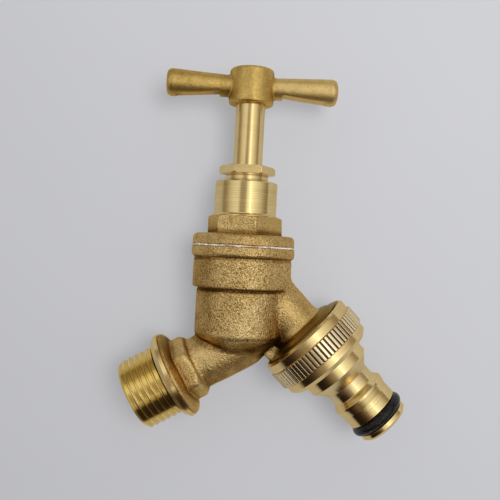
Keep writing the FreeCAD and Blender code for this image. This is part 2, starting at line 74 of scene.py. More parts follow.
# ------------------------------------------------------------------ meshes from arrays
def mesh_object(name, verts, quads, normals, tris=None, matrix=None):
    """verts in millimetres; quads and tris are rows of vertex numbers, outward."""
    me = bpy.data.meshes.new(name)
    tris = np.zeros((0, 3), int) if tris is None else tris
    me.vertices.add(len(verts))
    me.vertices.foreach_set("co", (np.asarray(verts) * MM).astype(np.float32).ravel())
    loops = np.concatenate([np.asarray(quads).ravel(), np.asarray(tris).ravel()]).astype(np.int32)
    start = np.concatenate([np.arange(len(quads)) * 4, len(quads) * 4 + np.arange(len(tris)) * 3])
    me.loops.add(len(loops))
    me.loops.foreach_set("vertex_index", loops)
    me.polygons.add(len(quads) + len(tris))
    me.polygons.foreach_set("loop_start", start.astype(np.int32))
    me.update(calc_edges=True)
    me.validate()
    me.polygons.foreach_set("use_smooth", np.ones(len(me.polygons), bool))
    n = np.asarray(normals, float)
    n /= np.maximum(np.linalg.norm(n, axis=1), 1e-9)[:, None]
    me.normals_split_custom_set_from_vertices(n.tolist())
    ob = bpy.data.objects.new(name, me)
    bpy.context.scene.collection.objects.link(ob)
    if matrix is not None:
        ob.matrix_world = matrix
    return ob


def mark(ob, name, values):
    """Keeps one number per vertex for the materials, such as how sunk or how exposed the spot is, which the materials
    turn into painted shade and painted highlights.
    """
    a = ob.data.attributes.new(name, "FLOAT", "POINT")
    a.data.foreach_set("value", np.clip(values, 0, 1).astype(np.float32))


# ------------------------------------------------------------------ smooth random fields
def lattice(seed, n=32):
    return np.random.RandomState(seed).rand(n, n, n) * 2 - 1


GRAIN = lattice(7)


def lumps(p, size, shift=0.0):
    """Smooth noise from -1 to 1 whose bumps are about size across."""
    q = p / size + shift
    i = np.floor(q).astype(int)
    f = q - i
    f = f * f * (3 - 2 * f)
    out = 0
    n = GRAIN.shape[0]
    for dx in (0, 1):
        wx = f[..., 0] if dx else 1 - f[..., 0]
        for dy in (0, 1):
            wy = f[..., 1] if dy else 1 - f[..., 1]
            for dz in (0, 1):
                wz = f[..., 2] if dz else 1 - f[..., 2]
                out = out + wx * wy * wz * GRAIN[(i[..., 0] + dx) % n, (i[..., 1] + dy) % n, (i[..., 2] + dz) % n]
    return out


# ------------------------------------------------------------------ distance fields
def outline(r, s, pts):
    """Signed distance to a closed outline in the (r, s) half plane, negative inside."""
    pts = np.asarray(pts, float)
    best = np.full(r.shape, 1e9)
    inside = np.zeros(r.shape, bool)
    for (ax, ay), (bx, by) in zip(pts, np.roll(pts, -1, axis=0)):
        ex, ey = bx - ax, by - ay
        wx, wy = r - ax, s - ay
        t = np.clip((wx * ex + wy * ey) / (ex * ex + ey * ey + 1e-12), 0, 1)
        if not (abs(ax) < 1e-9 and abs(bx) < 1e-9):
            d = (wx - t * ex) ** 2 + (wy - t * ey) ** 2
            best = np.minimum(best, d)
        if ay != by:
            cross = ((ay > s) != (by > s)) & (r < ex * (s - ay) / ey + ax)
            inside ^= cross
    d = np.sqrt(best)
    return np.where(inside, -d, d)


def revolved(p, axes, pts):
    x, y, z = local(p, axes)
    return outline(np.sqrt(x * x + y * y), z, pts)


def smooth_min(a, b, k):
    h = np.clip(0.5 + 0.5 * (b - a) / k, 0, 1)
    return b + (a - b) * h - k * h * (1 - h)


def smooth_max(a, b, k):
    return -smooth_min(-a, -b, k)


def hexagon(x, y, half, vertex_deg):
    d = np.full(x.shape, -1e9)
    for k in range(6):
        t = math.radians(vertex_deg + 30 + 60 * k)
        d = np.maximum(d, x * math.cos(t) + y * math.sin(t))
    return d - half


def sample(field, lo, hi, h, soft):
    """The field on a grid, exact only near its surface, softened by soft voxels."""
    B = 4
    lo = np.asarray(lo, float)
    n = (np.ceil((np.asarray(hi) - lo) / h / B).astype(int) + 1)
    centre = [lo[i] + h * (np.arange(n[i]) * B + (B - 1) / 2) for i in range(3)]
    c = np.stack(np.meshgrid(*centre, indexing="ij"), -1).reshape(-1, 3)
    d = np.concatenate([field(c[i:i + 300000]) for i in range(0, len(c), 300000)]).reshape(n)
    F = np.repeat(np.repeat(np.repeat(d, B, 0), B, 1), B, 2)
    near = np.argwhere(np.abs(d) < h * (B * 0.87 + 5.5))
    off = np.stack(np.meshgrid(*[np.arange(B)] * 3, indexing="ij"), -1).reshape(-1, 3)
    for i in range(0, len(near), 6000):
        idx = (near[i:i + 6000, None, :] * B + off[None]).reshape(-1, 3)
        F[idx[:, 0], idx[:, 1], idx[:, 2]] = field(lo + h * idx)
    F = np.clip(F, -5 * h, 5 * h)
    if soft > 0:
        w = np.exp(-0.5 * (np.arange(-2, 3) / soft) ** 2)
        w /= w.sum()
        for ax in range(3):
            P = np.concatenate([np.take(F, [0, 0], ax), F, np.take(F, [-1, -1], ax)], ax)
            m = F.shape[ax]
            F = sum(w[k] * np.take(P, np.arange(k, k + m), ax) for k in range(5))
    return F, lo


def interpolate(F, q):
    i = np.clip(np.floor(q).astype(int), 0, np.array(F.shape[:3]) - 2)
    f = q - i
    out = 0
    for dx in (0, 1):
        wx = f[:, 0] if dx else 1 - f[:, 0]
        for dy in (0, 1):
            wy = f[:, 1] if dy else 1 - f[:, 1]
            for dz in (0, 1):
                wz = f[:, 2] if dz else 1 - f[:, 2]
                v = F[i[:, 0] + dx, i[:, 1] + dy, i[:, 2] + dz]
                w = wx * wy * wz
                out = out + (w[:, None] * v if v.ndim > 1 else w * v)
    return out


def cast(name, field, lo, hi, h, soft=0.7, stains_and_painted_light=None, tame=None):
    """A closed mesh of the zero surface of a distance field (negative inside).  Two marks paint light:
    the hollow mark is painted shade, partly oxide, that grows where the field finds surface close
    along the normal, and the second mark is a painted highlight on convex edges, partly wear.  The
    (p, u) callable adds painted shade to the hollow mark and paints highlights where it is negative,
    tame(p) says where the grain is finer."""
    F, lo = sample(field, lo, hi, h, soft)
    inside = F < 0
    total = np.zeros(np.array(F.shape) - 1, np.int8)
    n = F.shape
    for dx in (0, 1):
        for dy in (0, 1):
            for dz in (0, 1):
                total += inside[dx:n[0] - 1 + dx, dy:n[1] - 1 + dy, dz:n[2] - 1 + dz]
    active = (total > 0) & (total < 8)
    cells = np.argwhere(active)
    number = np.full(active.shape, -1, np.int64)
    number[active] = np.arange(len(cells))
    acc = np.zeros((len(cells), 3))
    cnt = np.zeros(len(cells))
    for ax in range(3):
        e = np.zeros(3, int)
        e[ax] = 1
        others = [k for k in range(3) if k != ax]
        for u in (0, 1):
            for v in (0, 1):
                o = np.zeros(3, int)
                o[others[0]], o[others[1]] = u, v
                A = cells + o
                Bc = A + e
                a = F[A[:, 0], A[:, 1], A[:, 2]]
                b = F[Bc[:, 0], Bc[:, 1], Bc[:, 2]]
                x = (a < 0) != (b < 0)
                t = np.where(x, a / np.where(x, a - b, 1), 0)
                acc += np.where(x[:, None], A + t[:, None] * e, 0)
                cnt += x
    q = acc / cnt[:, None]
    quads = []
    for ax in range(3):
        others = [(ax + 1) % 3, (ax + 2) % 3]
        a = np.moveaxis(F, ax, 0)
        x = (a[:-1] < 0) != (a[1:] < 0)
        idx = np.argwhere(np.moveaxis(x, 0, ax))
        ok = np.all((idx[:, others] > 0) & (idx[:, others] < np.array(F.shape)[others] - 1), axis=1)
        idx = idx[ok]
        low_in = F[idx[:, 0], idx[:, 1], idx[:, 2]] < 0
        c = []
        for u, v in ((-1, -1), (0, -1), (0, 0), (-1, 0)):
            k = idx.copy()
            k[:, others[0]] += u
            k[:, others[1]] += v
            c.append(number[k[:, 0], k[:, 1], k[:, 2]])
        f = np.stack(c, 1)
        f[~low_in] = f[~low_in][:, ::-1]
        quads.append(f)
    quads = np.concatenate(quads)
    G = np.stack(np.gradient(F), -1)
    for _ in range(3):
        v = interpolate(F, q)
        g = interpolate(G, q)
        g2 = np.maximum((g * g).sum(1), 1e-6 * h * h)
        step = -(v / g2)[:, None] * g
        size = np.linalg.norm(step, axis=1)
        q = q + step * np.minimum(1, 0.4 / np.maximum(size, 1e-9))[:, None]
    g = interpolate(G, q)
    used = np.unique(quads)
    renum = np.full(len(q), -1)
    renum[used] = np.arange(len(used))
    P, g = lo + h * q[used], g[used]
    ob = mesh_object(name, P, renum[quads], g)
    u = g / np.maximum(np.linalg.norm(g, axis=1), 1e-9)[:, None]
    # Painted shade: the hollow mark grows where the field finds surface close along the normal, like ambient occlusion,
    # partly standing for oxide in recesses.
    hollow = 0
    for reach, share in ((0.7, 0.40), (1.8, 0.35), (4.5, 0.25)):
        hollow = hollow + share * np.clip(1 - field(P + u * reach) / reach, 0, 1)
    # Painted highlight on convex edges, partly wear.
    edge_wear_and_highlight = 1 + field(P - u * 0.6) / 0.6
    # The caller's painted shade adds to the hollow mark; where it is negative it paints highlights.
    if stains_and_painted_light is not None:
        painted = stains_and_painted_light(P, u)
        hollow, edge_wear_and_highlight = hollow + painted, edge_wear_and_highlight - 3 * painted
    mark(ob, "hollow", hollow)
    mark(ob, "edge_wear_and_highlight", edge_wear_and_highlight)
    if tame is not None:
        mark(ob, "tame", tame(P))
    return ob


# ------------------------------------------------------------------ turned shapes
def rounded(corners, closed=True, arc=4):
    """Corner rows (r, s, rounding) to rows (r, s, normal r, normal s), normals to the
    right of the direction of travel."""
    c = [(p[0], p[1], p[2] if len(p) > 2 else 0.08) for p in corners]
    n = len(c)
    rows = []
    for i in range(n):
        p = np.array(c[i][:2], float)
        if not closed and i in (0, n - 1):
            q = np.array(c[1][:2] if i == 0 else c[-2][:2], float)
            d = (q - p) if i == 0 else (p - q)
            d /= np.linalg.norm(d)
            rows.append((p[0], p[1], d[1], -d[0]))
            continue
        a = np.array(c[i - 1][:2], float)
        b = np.array(c[(i + 1) % n][:2], float)
        u = (p - a)
        v = (b - p)
        lu, lv = np.linalg.norm(u), np.linalg.norm(v)
        u, v = u / lu, v / lv
        turn = math.atan2(u[0] * v[1] - u[1] * v[0], float(u @ v))
        if abs(turn) < 1e-4:
            rows.append((p[0], p[1], u[1], -u[0]))
            continue
        t = min(c[i][2] * math.tan(abs(turn) / 2), 0.45 * lu, 0.45 * lv)
        rad = t / math.tan(abs(turn) / 2)
        side = 1 if turn > 0 else -1
        centre = p - u * t + side * rad * np.array([-u[1], u[0]])
        k = max(2, int(math.ceil(arc * abs(turn) / (math.pi / 2)))) if rad > 1e-6 else 2
        for j in range(k + 1):
            w = side * -math.pi / 2 + turn * j / k
            ang = math.atan2(u[1], u[0]) + w
            q = centre + rad * np.array([math.cos(ang), math.sin(ang)])
            nn = side * (q - centre) / max(rad, 1e-9)
            rows.append((q[0], q[1], nn[0], nn[1]))
    return np.array(rows)


def refine(rows, step, closed=True, where=None):
    """Splits the long stretches of a rounded outline into steps."""
    out = []
    n = len(rows)
    for i in range(n):
        out.append(rows[i])
        if i == n - 1 and not closed:
            break
        a, b = rows[i], rows[(i + 1) % n]
        length = math.hypot(b[0] - a[0], b[1] - a[1])
        st = step
        if where is not None:
            st = where(0.5 * (a + b)) or step
        k = int(math.ceil(length / st))
        for j in range(1, k):
            out.append(a + (b - a) * j / k)
    out = np.array(out)
    out[:, 2:] /= np.maximum(np.linalg.norm(out[:, 2:], axis=1), 1e-9)[:, None]
    return out


def turned(name, rows, axes, around=160, change=None, closed=True, start=0.0, deep=None, painted_shade=None, lift=None,
           bright=None, shade=None):
    """Turns an outline about the local Z axis.  change(r, s, phi, nr) gives a new radius,
    lift(r, s, phi) moves a point along the axis.  The rest paint light into the marks: deep is
    the cut that counts as full painted shade in thread roots, the (r, s) callable paints shade on
    given spots, bright(r, s, cut radius) paints highlights on crests and rib tops, and
    shade(s, phi, cut radius) darkens by angle: painted reflection bands on the inlet thread and
    its shoulder face, darker patches on the gasket."""
    m = len(rows)
    phi = start + np.arange(around) * 2 * math.pi / around
    r, s, nr, ns = (rows[:, [k]] for k in range(4))
    ph = phi[None, :]

    def radius(r_, s_, ph_):
        if change is None:
            return r_ + 0 * ph_
        return change(r_ + 0 * ph_, s_ + 0 * ph_, ph_ + 0 * r_, nr + 0 * ph_)

    R = radius(r, s, ph)
    tr, ts = -ns, nr
    e = 0.01
    dl = (radius(r + e * tr, s + e * ts, ph) - radius(r - e * tr, s - e * ts, ph)) / (2 * e)
    da = 1e-3
    dp = (radius(r, s, ph + da) - radius(r, s, ph - da)) / (2 * da)
    Rs = np.maximum(R, 1e-6)
    # tangents: along (dl, ts) in (radial, axial), around (dp radial, Rs circumferential)
    n_r = ts * Rs
    n_phi = -ts * dp
    n_z = -dl * Rs
    flat = np.abs(n_r) + np.abs(n_z) < 1e-6
    n_r, n_z = np.where(flat, nr + 0 * ph, n_r), np.where(flat, ns + 0 * ph, n_z)
    cs, sn = np.cos(ph), np.sin(ph)
    S = s + 0 * ph
    if lift is not None:
        S = S + lift(r + 0 * ph, S, ph + 0 * r)
    V = np.stack([R * cs, R * sn, S], -1).reshape(-1, 3)
    sunk = 0 * R
    if deep:
        sunk = np.clip((r - R) / deep, 0, 1)
    if painted_shade is not None:
        sunk = np.maximum(sunk, painted_shade(r + 0 * ph, s + 0 * ph))
    if shade is not None:
        sunk = sunk + shade(s + 0 * ph, ph + 0 * r, R)
    painted_crest_highlight = None if bright is None else (bright(r + 0 * ph, s + 0 * ph, R) * np.clip(1 - 1.4 * sunk, 0, 1)).ravel()
    sunk = sunk.ravel()
    N = np.stack([n_r * cs - n_phi * sn, n_r * sn + n_phi * cs, n_z + 0 * ph], -1).reshape(-1, 3)
    i = np.arange(m if closed else m - 1)[:, None]
    j = np.arange(around)[None, :]
    i2, j2 = (i + 1) % m, (j + 1) % around
    quads = np.stack([i * around + j, i * around + j2, i2 * around + j2, i2 * around + j], -1).reshape(-1, 4)
    tris = np.zeros((0, 3), int)
    if not closed:
        V = np.concatenate([V, [[0, 0, rows[0, 1]], [0, 0, rows[-1, 1]]]])
        N = np.concatenate([N, [[0, 0, rows[0, 3]], [0, 0, rows[-1, 3]]]])
        sunk = np.concatenate([sunk, [0, 0]])
        a, b = m * around, m * around + 1
        j = np.arange(around)
        j2 = (j + 1) % around
        tris = np.concatenate([np.stack([np.full(around, a), j2, j], 1),
                               np.stack([np.full(around, b), (m - 1) * around + j, (m - 1) * around + j2], 1)])
    # the way round that faces outward
    v = V[quads[:, 0]]
    fn = np.cross(V[quads[:, 2]] - v, V[quads[:, 3]] - V[quads[:, 1]])
    if (fn * N[quads[:, 0]]).sum() < 0:
        quads = quads[:, ::-1]
        tris = tris[:, ::-1]
    keep = np.linalg.norm(V[quads[:, 0]] - V[quads[:, 2]], axis=1) > 1e-9
    ob = mesh_object(name, V, quads[keep], N, tris, place(axes))
    if len(ob.data.vertices) == len(sunk):
        mark(ob, "hollow", sunk)
        if painted_crest_highlight is not None:
            mark(ob, "edge_wear_and_highlight", painted_crest_highlight)
    return ob


def hex_radius(phi, half, vertex_deg):
    t = (phi - math.radians(vertex_deg)) % (math.pi / 3) - math.pi / 6
    return half / np.cos(t)


def thread(pitch, crest, depth, shift=0.0, crest_share=0.16, root_share=0.2):
    """A right-hand screw thread cut down from the crest radius."""
    def change(r, s, ph, nr):
        t = ((s / pitch - ph / (2 * math.pi) + shift) % 1.0)
        d = np.abs(t - 0.5) * 2          # 0 at the crest, 1 at the root
        x = np.clip((d - crest_share) / (1 - crest_share - root_share), 0, 1)
        x = x * x * (3 - 2 * x) * 0.35 + x * 0.65
        cut = crest - depth * x
        return np.where(nr > 0.3, np.minimum(r, cut), r)
    return change


# ------------------------------------------------------------------ materials
class Paint:
    """A small helper to lay out shader nodes in a row's own object coordinates (mm)."""

    def __init__(self, name):
        self.mat = bpy.data.materials.new(name)
        self.mat.use_nodes = True
        self.nt = self.mat.node_tree
        self.nt.nodes.clear()
        self.out = self.nt.nodes.new("ShaderNodeOutputMaterial")
        self.bsdf = self.nt.nodes.new("ShaderNodeBsdfPrincipled")
        self.nt.links.new(self.bsdf.outputs[0], self.out.inputs[0])
        self.coord = self.nt.nodes.new("ShaderNodeTexCoord").outputs["Object"]

    def put(self, socket, value):
        if isinstance(value, bpy.types.NodeSocket):
            self.nt.links.new(value, socket)
        else:
            socket.default_value = value

    def at(self, x, y=None, z=None):
        """Object coordinates times (x, y, z) per millimetre."""
        y = x if y is None else y
        z = x if z is None else z
        n = self.nt.nodes.new("ShaderNodeVectorMath")
        n.operation = "MULTIPLY"
        self.put(n.inputs[0], self.coord)
        n.inputs[1].default_value = (x * 1000, y * 1000, z * 1000)
        return n.outputs[0]

    def mark(self, name):
        n = self.nt.nodes.new("ShaderNodeAttribute")
        n.attribute_type = "GEOMETRY"
        n.attribute_name = name
        return n.outputs["Fac"]

    def noise(self, vec, scale=1.0, detail=3.0, rough=0.55, lac=2.0, dist=0.0, colour=False):
        n = self.nt.nodes.new("ShaderNodeTexNoise")
        self.put(n.inputs["Vector"], vec)
        n.inputs["Scale"].default_value = scale
        n.inputs["Detail"].default_value = detail
        n.inputs["Roughness"].default_value = rough
        n.inputs["Lacunarity"].default_value = lac
        n.inputs["Distortion"].default_value = dist
        return n.outputs["Color" if colour else "Fac"]

    def cells(self, vec, scale=1.0, feature="F1", smooth=0.4):
        n = self.nt.nodes.new("ShaderNodeTexVoronoi")
        n.feature = feature
        self.put(n.inputs["Vector"], vec)
        n.inputs["Scale"].default_value = scale
        if feature == "SMOOTH_F1":
            n.inputs["Smoothness"].default_value = smooth
        return n.outputs["Distance"]

    def curve(self, fac, stops):
        n = self.nt.nodes.new("ShaderNodeValToRGB")
        self.put(n.inputs[0], fac)
        el = n.color_ramp.elements
        while len(el) < len(stops):
            el.new(0.5)
        for e, (pos, col) in zip(el, stops):
            e.position = pos
            e.color = (*col, 1) if hasattr(col, "__len__") else (col, col, col, 1)
        return n.outputs[0]

    def sum(self, op, a, b, c=None):
        n = self.nt.nodes.new("ShaderNodeMath")
        n.operation = op
        self.put(n.inputs[0], a)
        self.put(n.inputs[1], b)
        if c is not None:
            self.put(n.inputs[2], c)
        return n.outputs[0]

    def span(self, v, a, b, lo, hi):
        n = self.nt.nodes.new("ShaderNodeMapRange")
        self.put(n.inputs[0], v)
        for k, x in zip((1, 2, 3, 4), (a, b, lo, hi)):
            n.inputs[k].default_value = x
        return n.outputs[0]

    def mix(self, fac, a, b, kind="MIX"):
        n = self.nt.nodes.new("ShaderNodeMix")
        n.data_type = "RGBA"
        n.blend_type = kind
        self.put(n.inputs["Factor"], fac)
        self.put(n.inputs[6], (*a, 1) if isinstance(a, tuple) else a)
        self.put(n.inputs[7], (*b, 1) if isinstance(b, tuple) else b)
        return n.outputs[2]

    def bump(self, height, strength, distance_mm, under=None):
        n = self.nt.nodes.new("ShaderNodeBump")
        n.inputs["Strength"].default_value = strength
        n.inputs["Distance"].default_value = distance_mm * MM
        self.put(n.inputs["Height"], height)
        if under is not None:
            self.put(n.inputs["Normal"], under)
        return n.outputs[0]

    def finish(self, colour, rough, metal=1.0, normal=None, **more):
        self.put(self.bsdf.inputs["Base Color"], colour)
        self.put(self.bsdf.inputs["Roughness"], rough)
        self.bsdf.inputs["Metallic"].default_value = metal
        if normal is not None:
            self.put(self.bsdf.inputs["Normal"], normal)
        for k, v in more.items():
            self.bsdf.inputs[k.replace("_", " ")].default_value = v
        return self.mat


def sandy_brass(name, dark, mid, light, rough=(0.30, 0.44), grain=1.0):
    """Sand-cast brass: fine pits and grains, cloudy colour, satin gloss, painted shade in the hollows, partly oxide,
    and painted highlights on convex edges.
    """
    p = Paint(name)
    hollow, edge_wear_and_highlight, tame = p.mark("hollow"), p.mark("edge_wear_and_highlight"), p.mark("tame")
    fine = p.noise(p.at(2.5 * grain), 1.0, 1.6, 0.5)
    grit = p.noise(p.at(4.6 * grain), 1.0, 1.0, 0.5)
    pits = p.cells(p.at(1.9 * grain), 1.0, "SMOOTH_F1", 0.55)
    broad = p.noise(p.at(0.42), 1.0, 3.0, 0.6)
    cloud = p.noise(p.at(0.11), 1.0, 2.0, 0.5)
    tone = p.sum("ADD", p.sum("MULTIPLY", fine, 0.62), p.sum("MULTIPLY", broad, 0.16))
    tone = p.sum("ADD", tone, p.sum("MULTIPLY", grit, 0.22))
    tone = p.sum("ADD", tone, p.sum("MULTIPLY", p.sum("SUBTRACT", cloud, 0.5), 0.16))
    colour = p.curve(tone, [(0.37, dark), (0.50, mid), (0.63, light)])
    speck = p.curve(p.noise(p.at(3.2 * grain), 1.0, 1.0, 0.5), [(0.27, 0.34), (0.40, 1.0)])
    colour = p.mix(1.0, colour, speck, "MULTIPLY")
    rare = p.curve(p.cells(p.at(0.75), 1.0, "SMOOTH_F1", 0.25), [(0.06, 0.30), (0.17, 1.0)])
    colour = p.mix(1.0, colour, rare, "MULTIPLY")
    colour = p.mix(p.span(tame, 0.0, 1.0, 0.0, 0.62), colour, mid)
    # Painted highlight on convex edges, partly wear, then painted shade from the hollow mark, partly oxide.
    colour = p.mix(p.span(edge_wear_and_highlight, 0.25, 0.75, 0.0, 0.45), colour, (0.98, 0.77, 0.40))
    shade_and_oxide = p.curve(hollow, [(0.09, (1, 1, 1)), (0.28, (0.60, 0.50, 0.39)), (0.52, (0.17, 0.115, 0.070))])
    colour = p.mix(1.0, colour, shade_and_oxide, "MULTIPLY")
    roughness = p.span(tone, 0.3, 0.7, rough[1], rough[0])
    roughness = p.sum("ADD", roughness, p.sum("MULTIPLY", hollow, 0.25))
    height = p.sum("ADD", p.sum("MULTIPLY", fine, 0.65), p.sum("MULTIPLY", pits, 0.35))
    height = p.sum("MULTIPLY", height, p.span(tame, 0.0, 1.0, 1.0, 0.6))
    n1 = p.bump(broad, 0.28, 0.40)
    n2 = p.bump(height, 1.0, 0.30, n1)
    return p.finish(colour, roughness, 1.0, n2, Specular_Tint=(1.0, 0.82, 0.52, 1))


def machined_brass(name, base, deep, rough=(0.16, 0.30), line=7.0, depth=0.25, bloom=0.5,
                   deep_shade=(0.13, 0.068, 0.022), half=(0.45, 0.28, 0.09), lines=0.0):
    """Turned or polished brass: fine rings round the local Z axis, faint stains, painted shade from the hollow mark,
    half-way and deep, and painted highlights on marked crests.
    """
    p = Paint(name)
    hollow, edge_wear_and_highlight = p.mark("hollow"), p.mark("edge_wear_and_highlight")
    rings = p.noise(p.at(0.03, 0.03, line), 1.0, 3.0, 0.65)
    coarse = p.noise(p.at(0.05, 0.05, line * 0.22), 1.0, 2.0, 0.5)
    cloud = p.noise(p.at(0.16), 1.0, 4.0, 0.6)
    spots = p.noise(p.at(0.9), 1.0, 2.0, 0.6)
    tone = p.sum("ADD", p.sum("MULTIPLY", cloud, 0.55), p.sum("MULTIPLY", rings, 0.45))
    colour = p.curve(tone, [(0.30, deep), (0.62, base)])
    stains_and_painted_light = p.curve(spots, [(0.22, 1.0 - 0.25 * bloom), (0.36, 1.0)])
    colour = p.mix(1.0, colour, stains_and_painted_light, "MULTIPLY")
    if lines:
        colour = p.mix(1.0, colour, p.curve(rings, [(0.36, 1.0 - lines), (0.56, 1.0)]), "MULTIPLY")
    # Painted highlight on marked crests and rib tops, then painted shade from the hollow mark: the half-way colour,
    # then the deep one.
    colour = p.mix(p.span(edge_wear_and_highlight, 0.1, 0.9, 0.0, 0.75), colour, (1.0, 0.885, 0.62))
    colour = p.mix(p.span(hollow, 0.05, 0.50, 0.0, 0.95), colour, half)
    colour = p.mix(p.span(hollow, 0.55, 0.95, 0.0, 0.97), colour, deep_shade)
    mixed = p.sum("ADD", p.sum("MULTIPLY", rings, 0.5), p.sum("MULTIPLY", cloud, 0.5))
    roughness = p.span(mixed, 0.32, 0.68, rough[0], rough[1])
    roughness = p.sum("ADD", roughness, p.sum("MULTIPLY", hollow, 0.22))
    n1 = p.bump(coarse, depth * 0.6, 0.05)
    n2 = p.bump(rings, depth, 0.03, n1)
    return p.finish(colour, roughness, 1.0, n2, Specular_Tint=(1.0, 0.88, 0.66, 1))


def handle_finish(name):
    """Cast and tumbled brass: soft satin with faint flow marks, small dents and scratches, painted highlights on convex
    edges and painted shade in hollows and on one arm.
    """
    p = Paint(name)
    hollow, edge_wear_and_highlight = p.mark("hollow"), p.mark("edge_wear_and_highlight")
    fine = p.noise(p.at(2.4), 1.0, 2.0, 0.55)
    broad = p.noise(p.at(0.35), 1.0, 3.0, 0.6)
    brush = p.noise(p.at(0.5, 0.5, 5.0), 1.0, 2.0, 0.6)
    dents = p.cells(p.at(0.55), 1.0, "SMOOTH_F1", 0.9)
    tone = p.sum("ADD", p.sum("MULTIPLY", fine, 0.45), p.sum("MULTIPLY", broad, 0.35))
    tone = p.sum("ADD", tone, p.sum("MULTIPLY", brush, 0.20))
    colour = p.curve(tone, [(0.34, (0.52, 0.345, 0.096)), (0.52, (0.755, 0.522, 0.158)), (0.68, (0.92, 0.675, 0.245))])
    # Painted highlight on convex edges, partly wear, then painted shade from the hollow mark, partly oxide.
    colour = p.mix(p.span(edge_wear_and_highlight, 0.25, 0.75, 0.0, 0.35), colour, (0.98, 0.77, 0.40))
    shade_and_oxide = p.curve(hollow, [(0.10, (1, 1, 1)), (0.34, (0.62, 0.53, 0.43)), (0.70, (0.22, 0.16, 0.11))])
    colour = p.mix(1.0, colour, shade_and_oxide, "MULTIPLY")
    roughness = p.span(tone, 0.3, 0.7, 0.46, 0.34)
    n1 = p.bump(dents, 0.10, 0.2)
    n2 = p.bump(broad, 0.14, 0.2, n1)
    n3 = p.bump(fine, 0.50, 0.12, n2)
    return p.finish(colour, roughness, 1.0, n3, Specular_Tint=(1.0, 0.82, 0.52, 1))


def fibre(name):
    p = Paint(name)
    a = p.noise(p.at(1.8, 1.8, 5.0), 1.0, 4.0, 0.65)
    darkening = p.mark("hollow")
    colour = p.curve(a, [(0.36, (0.40, 0.31, 0.25)), (0.52, (0.78, 0.74, 0.71)), (0.66, (0.90, 0.90, 0.88))])
    # Darker where the hollow mark is set, in patches round the gasket's front.
    colour = p.mix(p.span(darkening, 0.0, 1.0, 0.0, 1.0), colour, (0.36, 0.24, 0.17))
    return p.finish(colour, p.span(a, 0.3, 0.7, 0.9, 0.7), 0.0, p.bump(a, 0.7, 0.12))


def rubber(name, tone=0.012):
    p = Paint(name)
    a = p.noise(p.at(2.5), 1.0, 3.0, 0.6)
    b = p.noise(p.at(0.4), 1.0, 3.0, 0.6)
    colour = p.curve(b, [(0.3, (tone, tone, tone)), (0.7, (tone * 1.9, tone * 1.8, tone * 1.7))])
    dust = p.curve(p.noise(p.at(3.4), 1.0, 1.0, 0.5), [(0.66, 0.0), (0.74, 1.0)])
    colour = p.mix(dust, colour, (0.11, 0.11, 0.115))
    return p.finish(colour, p.span(b, 0.3, 0.7, 0.12, 0.26), 0.0, p.bump(a, 0.55, 0.10), Specular_IOR_Level=0.28)


CAST = sandy_brass("cast_brass", (0.32, 0.182, 0.051), (0.76, 0.515, 0.186), (1.0, 0.78, 0.39))
BONNET = sandy_brass("bonnet_brass", (0.42, 0.25, 0.075), (0.81, 0.56, 0.205), (1.0, 0.80, 0.41))
HANDLE_BRASS = handle_finish("handle_brass")
POLISHED = machined_brass("polished_brass", (0.93, 0.72, 0.345), (0.78, 0.57, 0.235), (0.13, 0.24), 5.0, 0.10)
TOWER = machined_brass("turned_brass", (0.94, 0.735, 0.345), (0.78, 0.585, 0.24), (0.10, 0.20), 3.6, 0.30, lines=0.09)
CONNECTOR = machined_brass("connector_brass", (1.0, 0.775, 0.365), (0.88, 0.635, 0.265), (0.11, 0.22), 3.8, 0.20, lines=0.10)
NOSE = machined_brass("nose_brass", (1.0, 0.785, 0.375), (0.88, 0.635, 0.265), (0.10, 0.20), 3.8, 0.20, lines=0.10,
                      half=(0.84, 0.67, 0.38))
THREAD = machined_brass("thread_brass", (1.0, 0.735, 0.21), (0.84, 0.58, 0.14), (0.11, 0.22), 4.0, 0.15, half=(0.80, 0.555, 0.125))
FIBRE = fibre("white_fibre")
RUBBER = rubber("black_rubber", 0.0035)
PACKING = fibre("packing")


def finish_piece(ob, mat, body, node):
    ob.data.materials.clear()
    ob.data.materials.append(mat)
    if node:
        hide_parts(node)
    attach(ob, body)
    return ob


# ------------------------------------------------------------------ the tap body, one casting
CHAMBER = [(0, -1.8), (8.3, -1.8), (12.35, 1.5), (13.05, 2.6), (13.05, 15.2), (12.70, 15.35), (12.70, 15.70), (13.95, 15.7), (14.3, 16.0),
           (14.3, 23.9), (14.0, 24.05), (14.0, 24.42), (14.55, 24.6), (14.9, 24.95), (15.0, 25.25), (15.0, 27.35), (14.9, 27.68), (14.8, 27.73), (0, 27.73)]
SHOULDER = [(0, 1.2), (8.9, 1.2), (8.9, -0.9), (12.2, -0.9), (12.2, -2.2), (12.66, -2.5), (12.6, -3.0), (12.2, -3.6), (11.3, -4.15),
            (9.8, -4.5), (8.6, -4.75),
            (8.6, -8.6), (7.7, -9.4), (7.7, -23.4), (0, -23.4)]
BRANCH = [(0, 3), (7.75, 3), (7.45, 22.5), (7.8, 23.9), (8.75, 24.9), (10.45, 25.6), (11.9, 25.9), (11.9, 27.2),
          (0, 27.2)]
CAVITY = [(0, 0.3), (5.0, 0.3), (5.0, 9.3), (5.3, 9.6), (6.2, 9.6), (6.6, 8.4), (10.0, 8.4), (10.6, 9.0),
          (10.6, 20.2), (11.0, 20.6), (11.0, 30), (0, 30)]


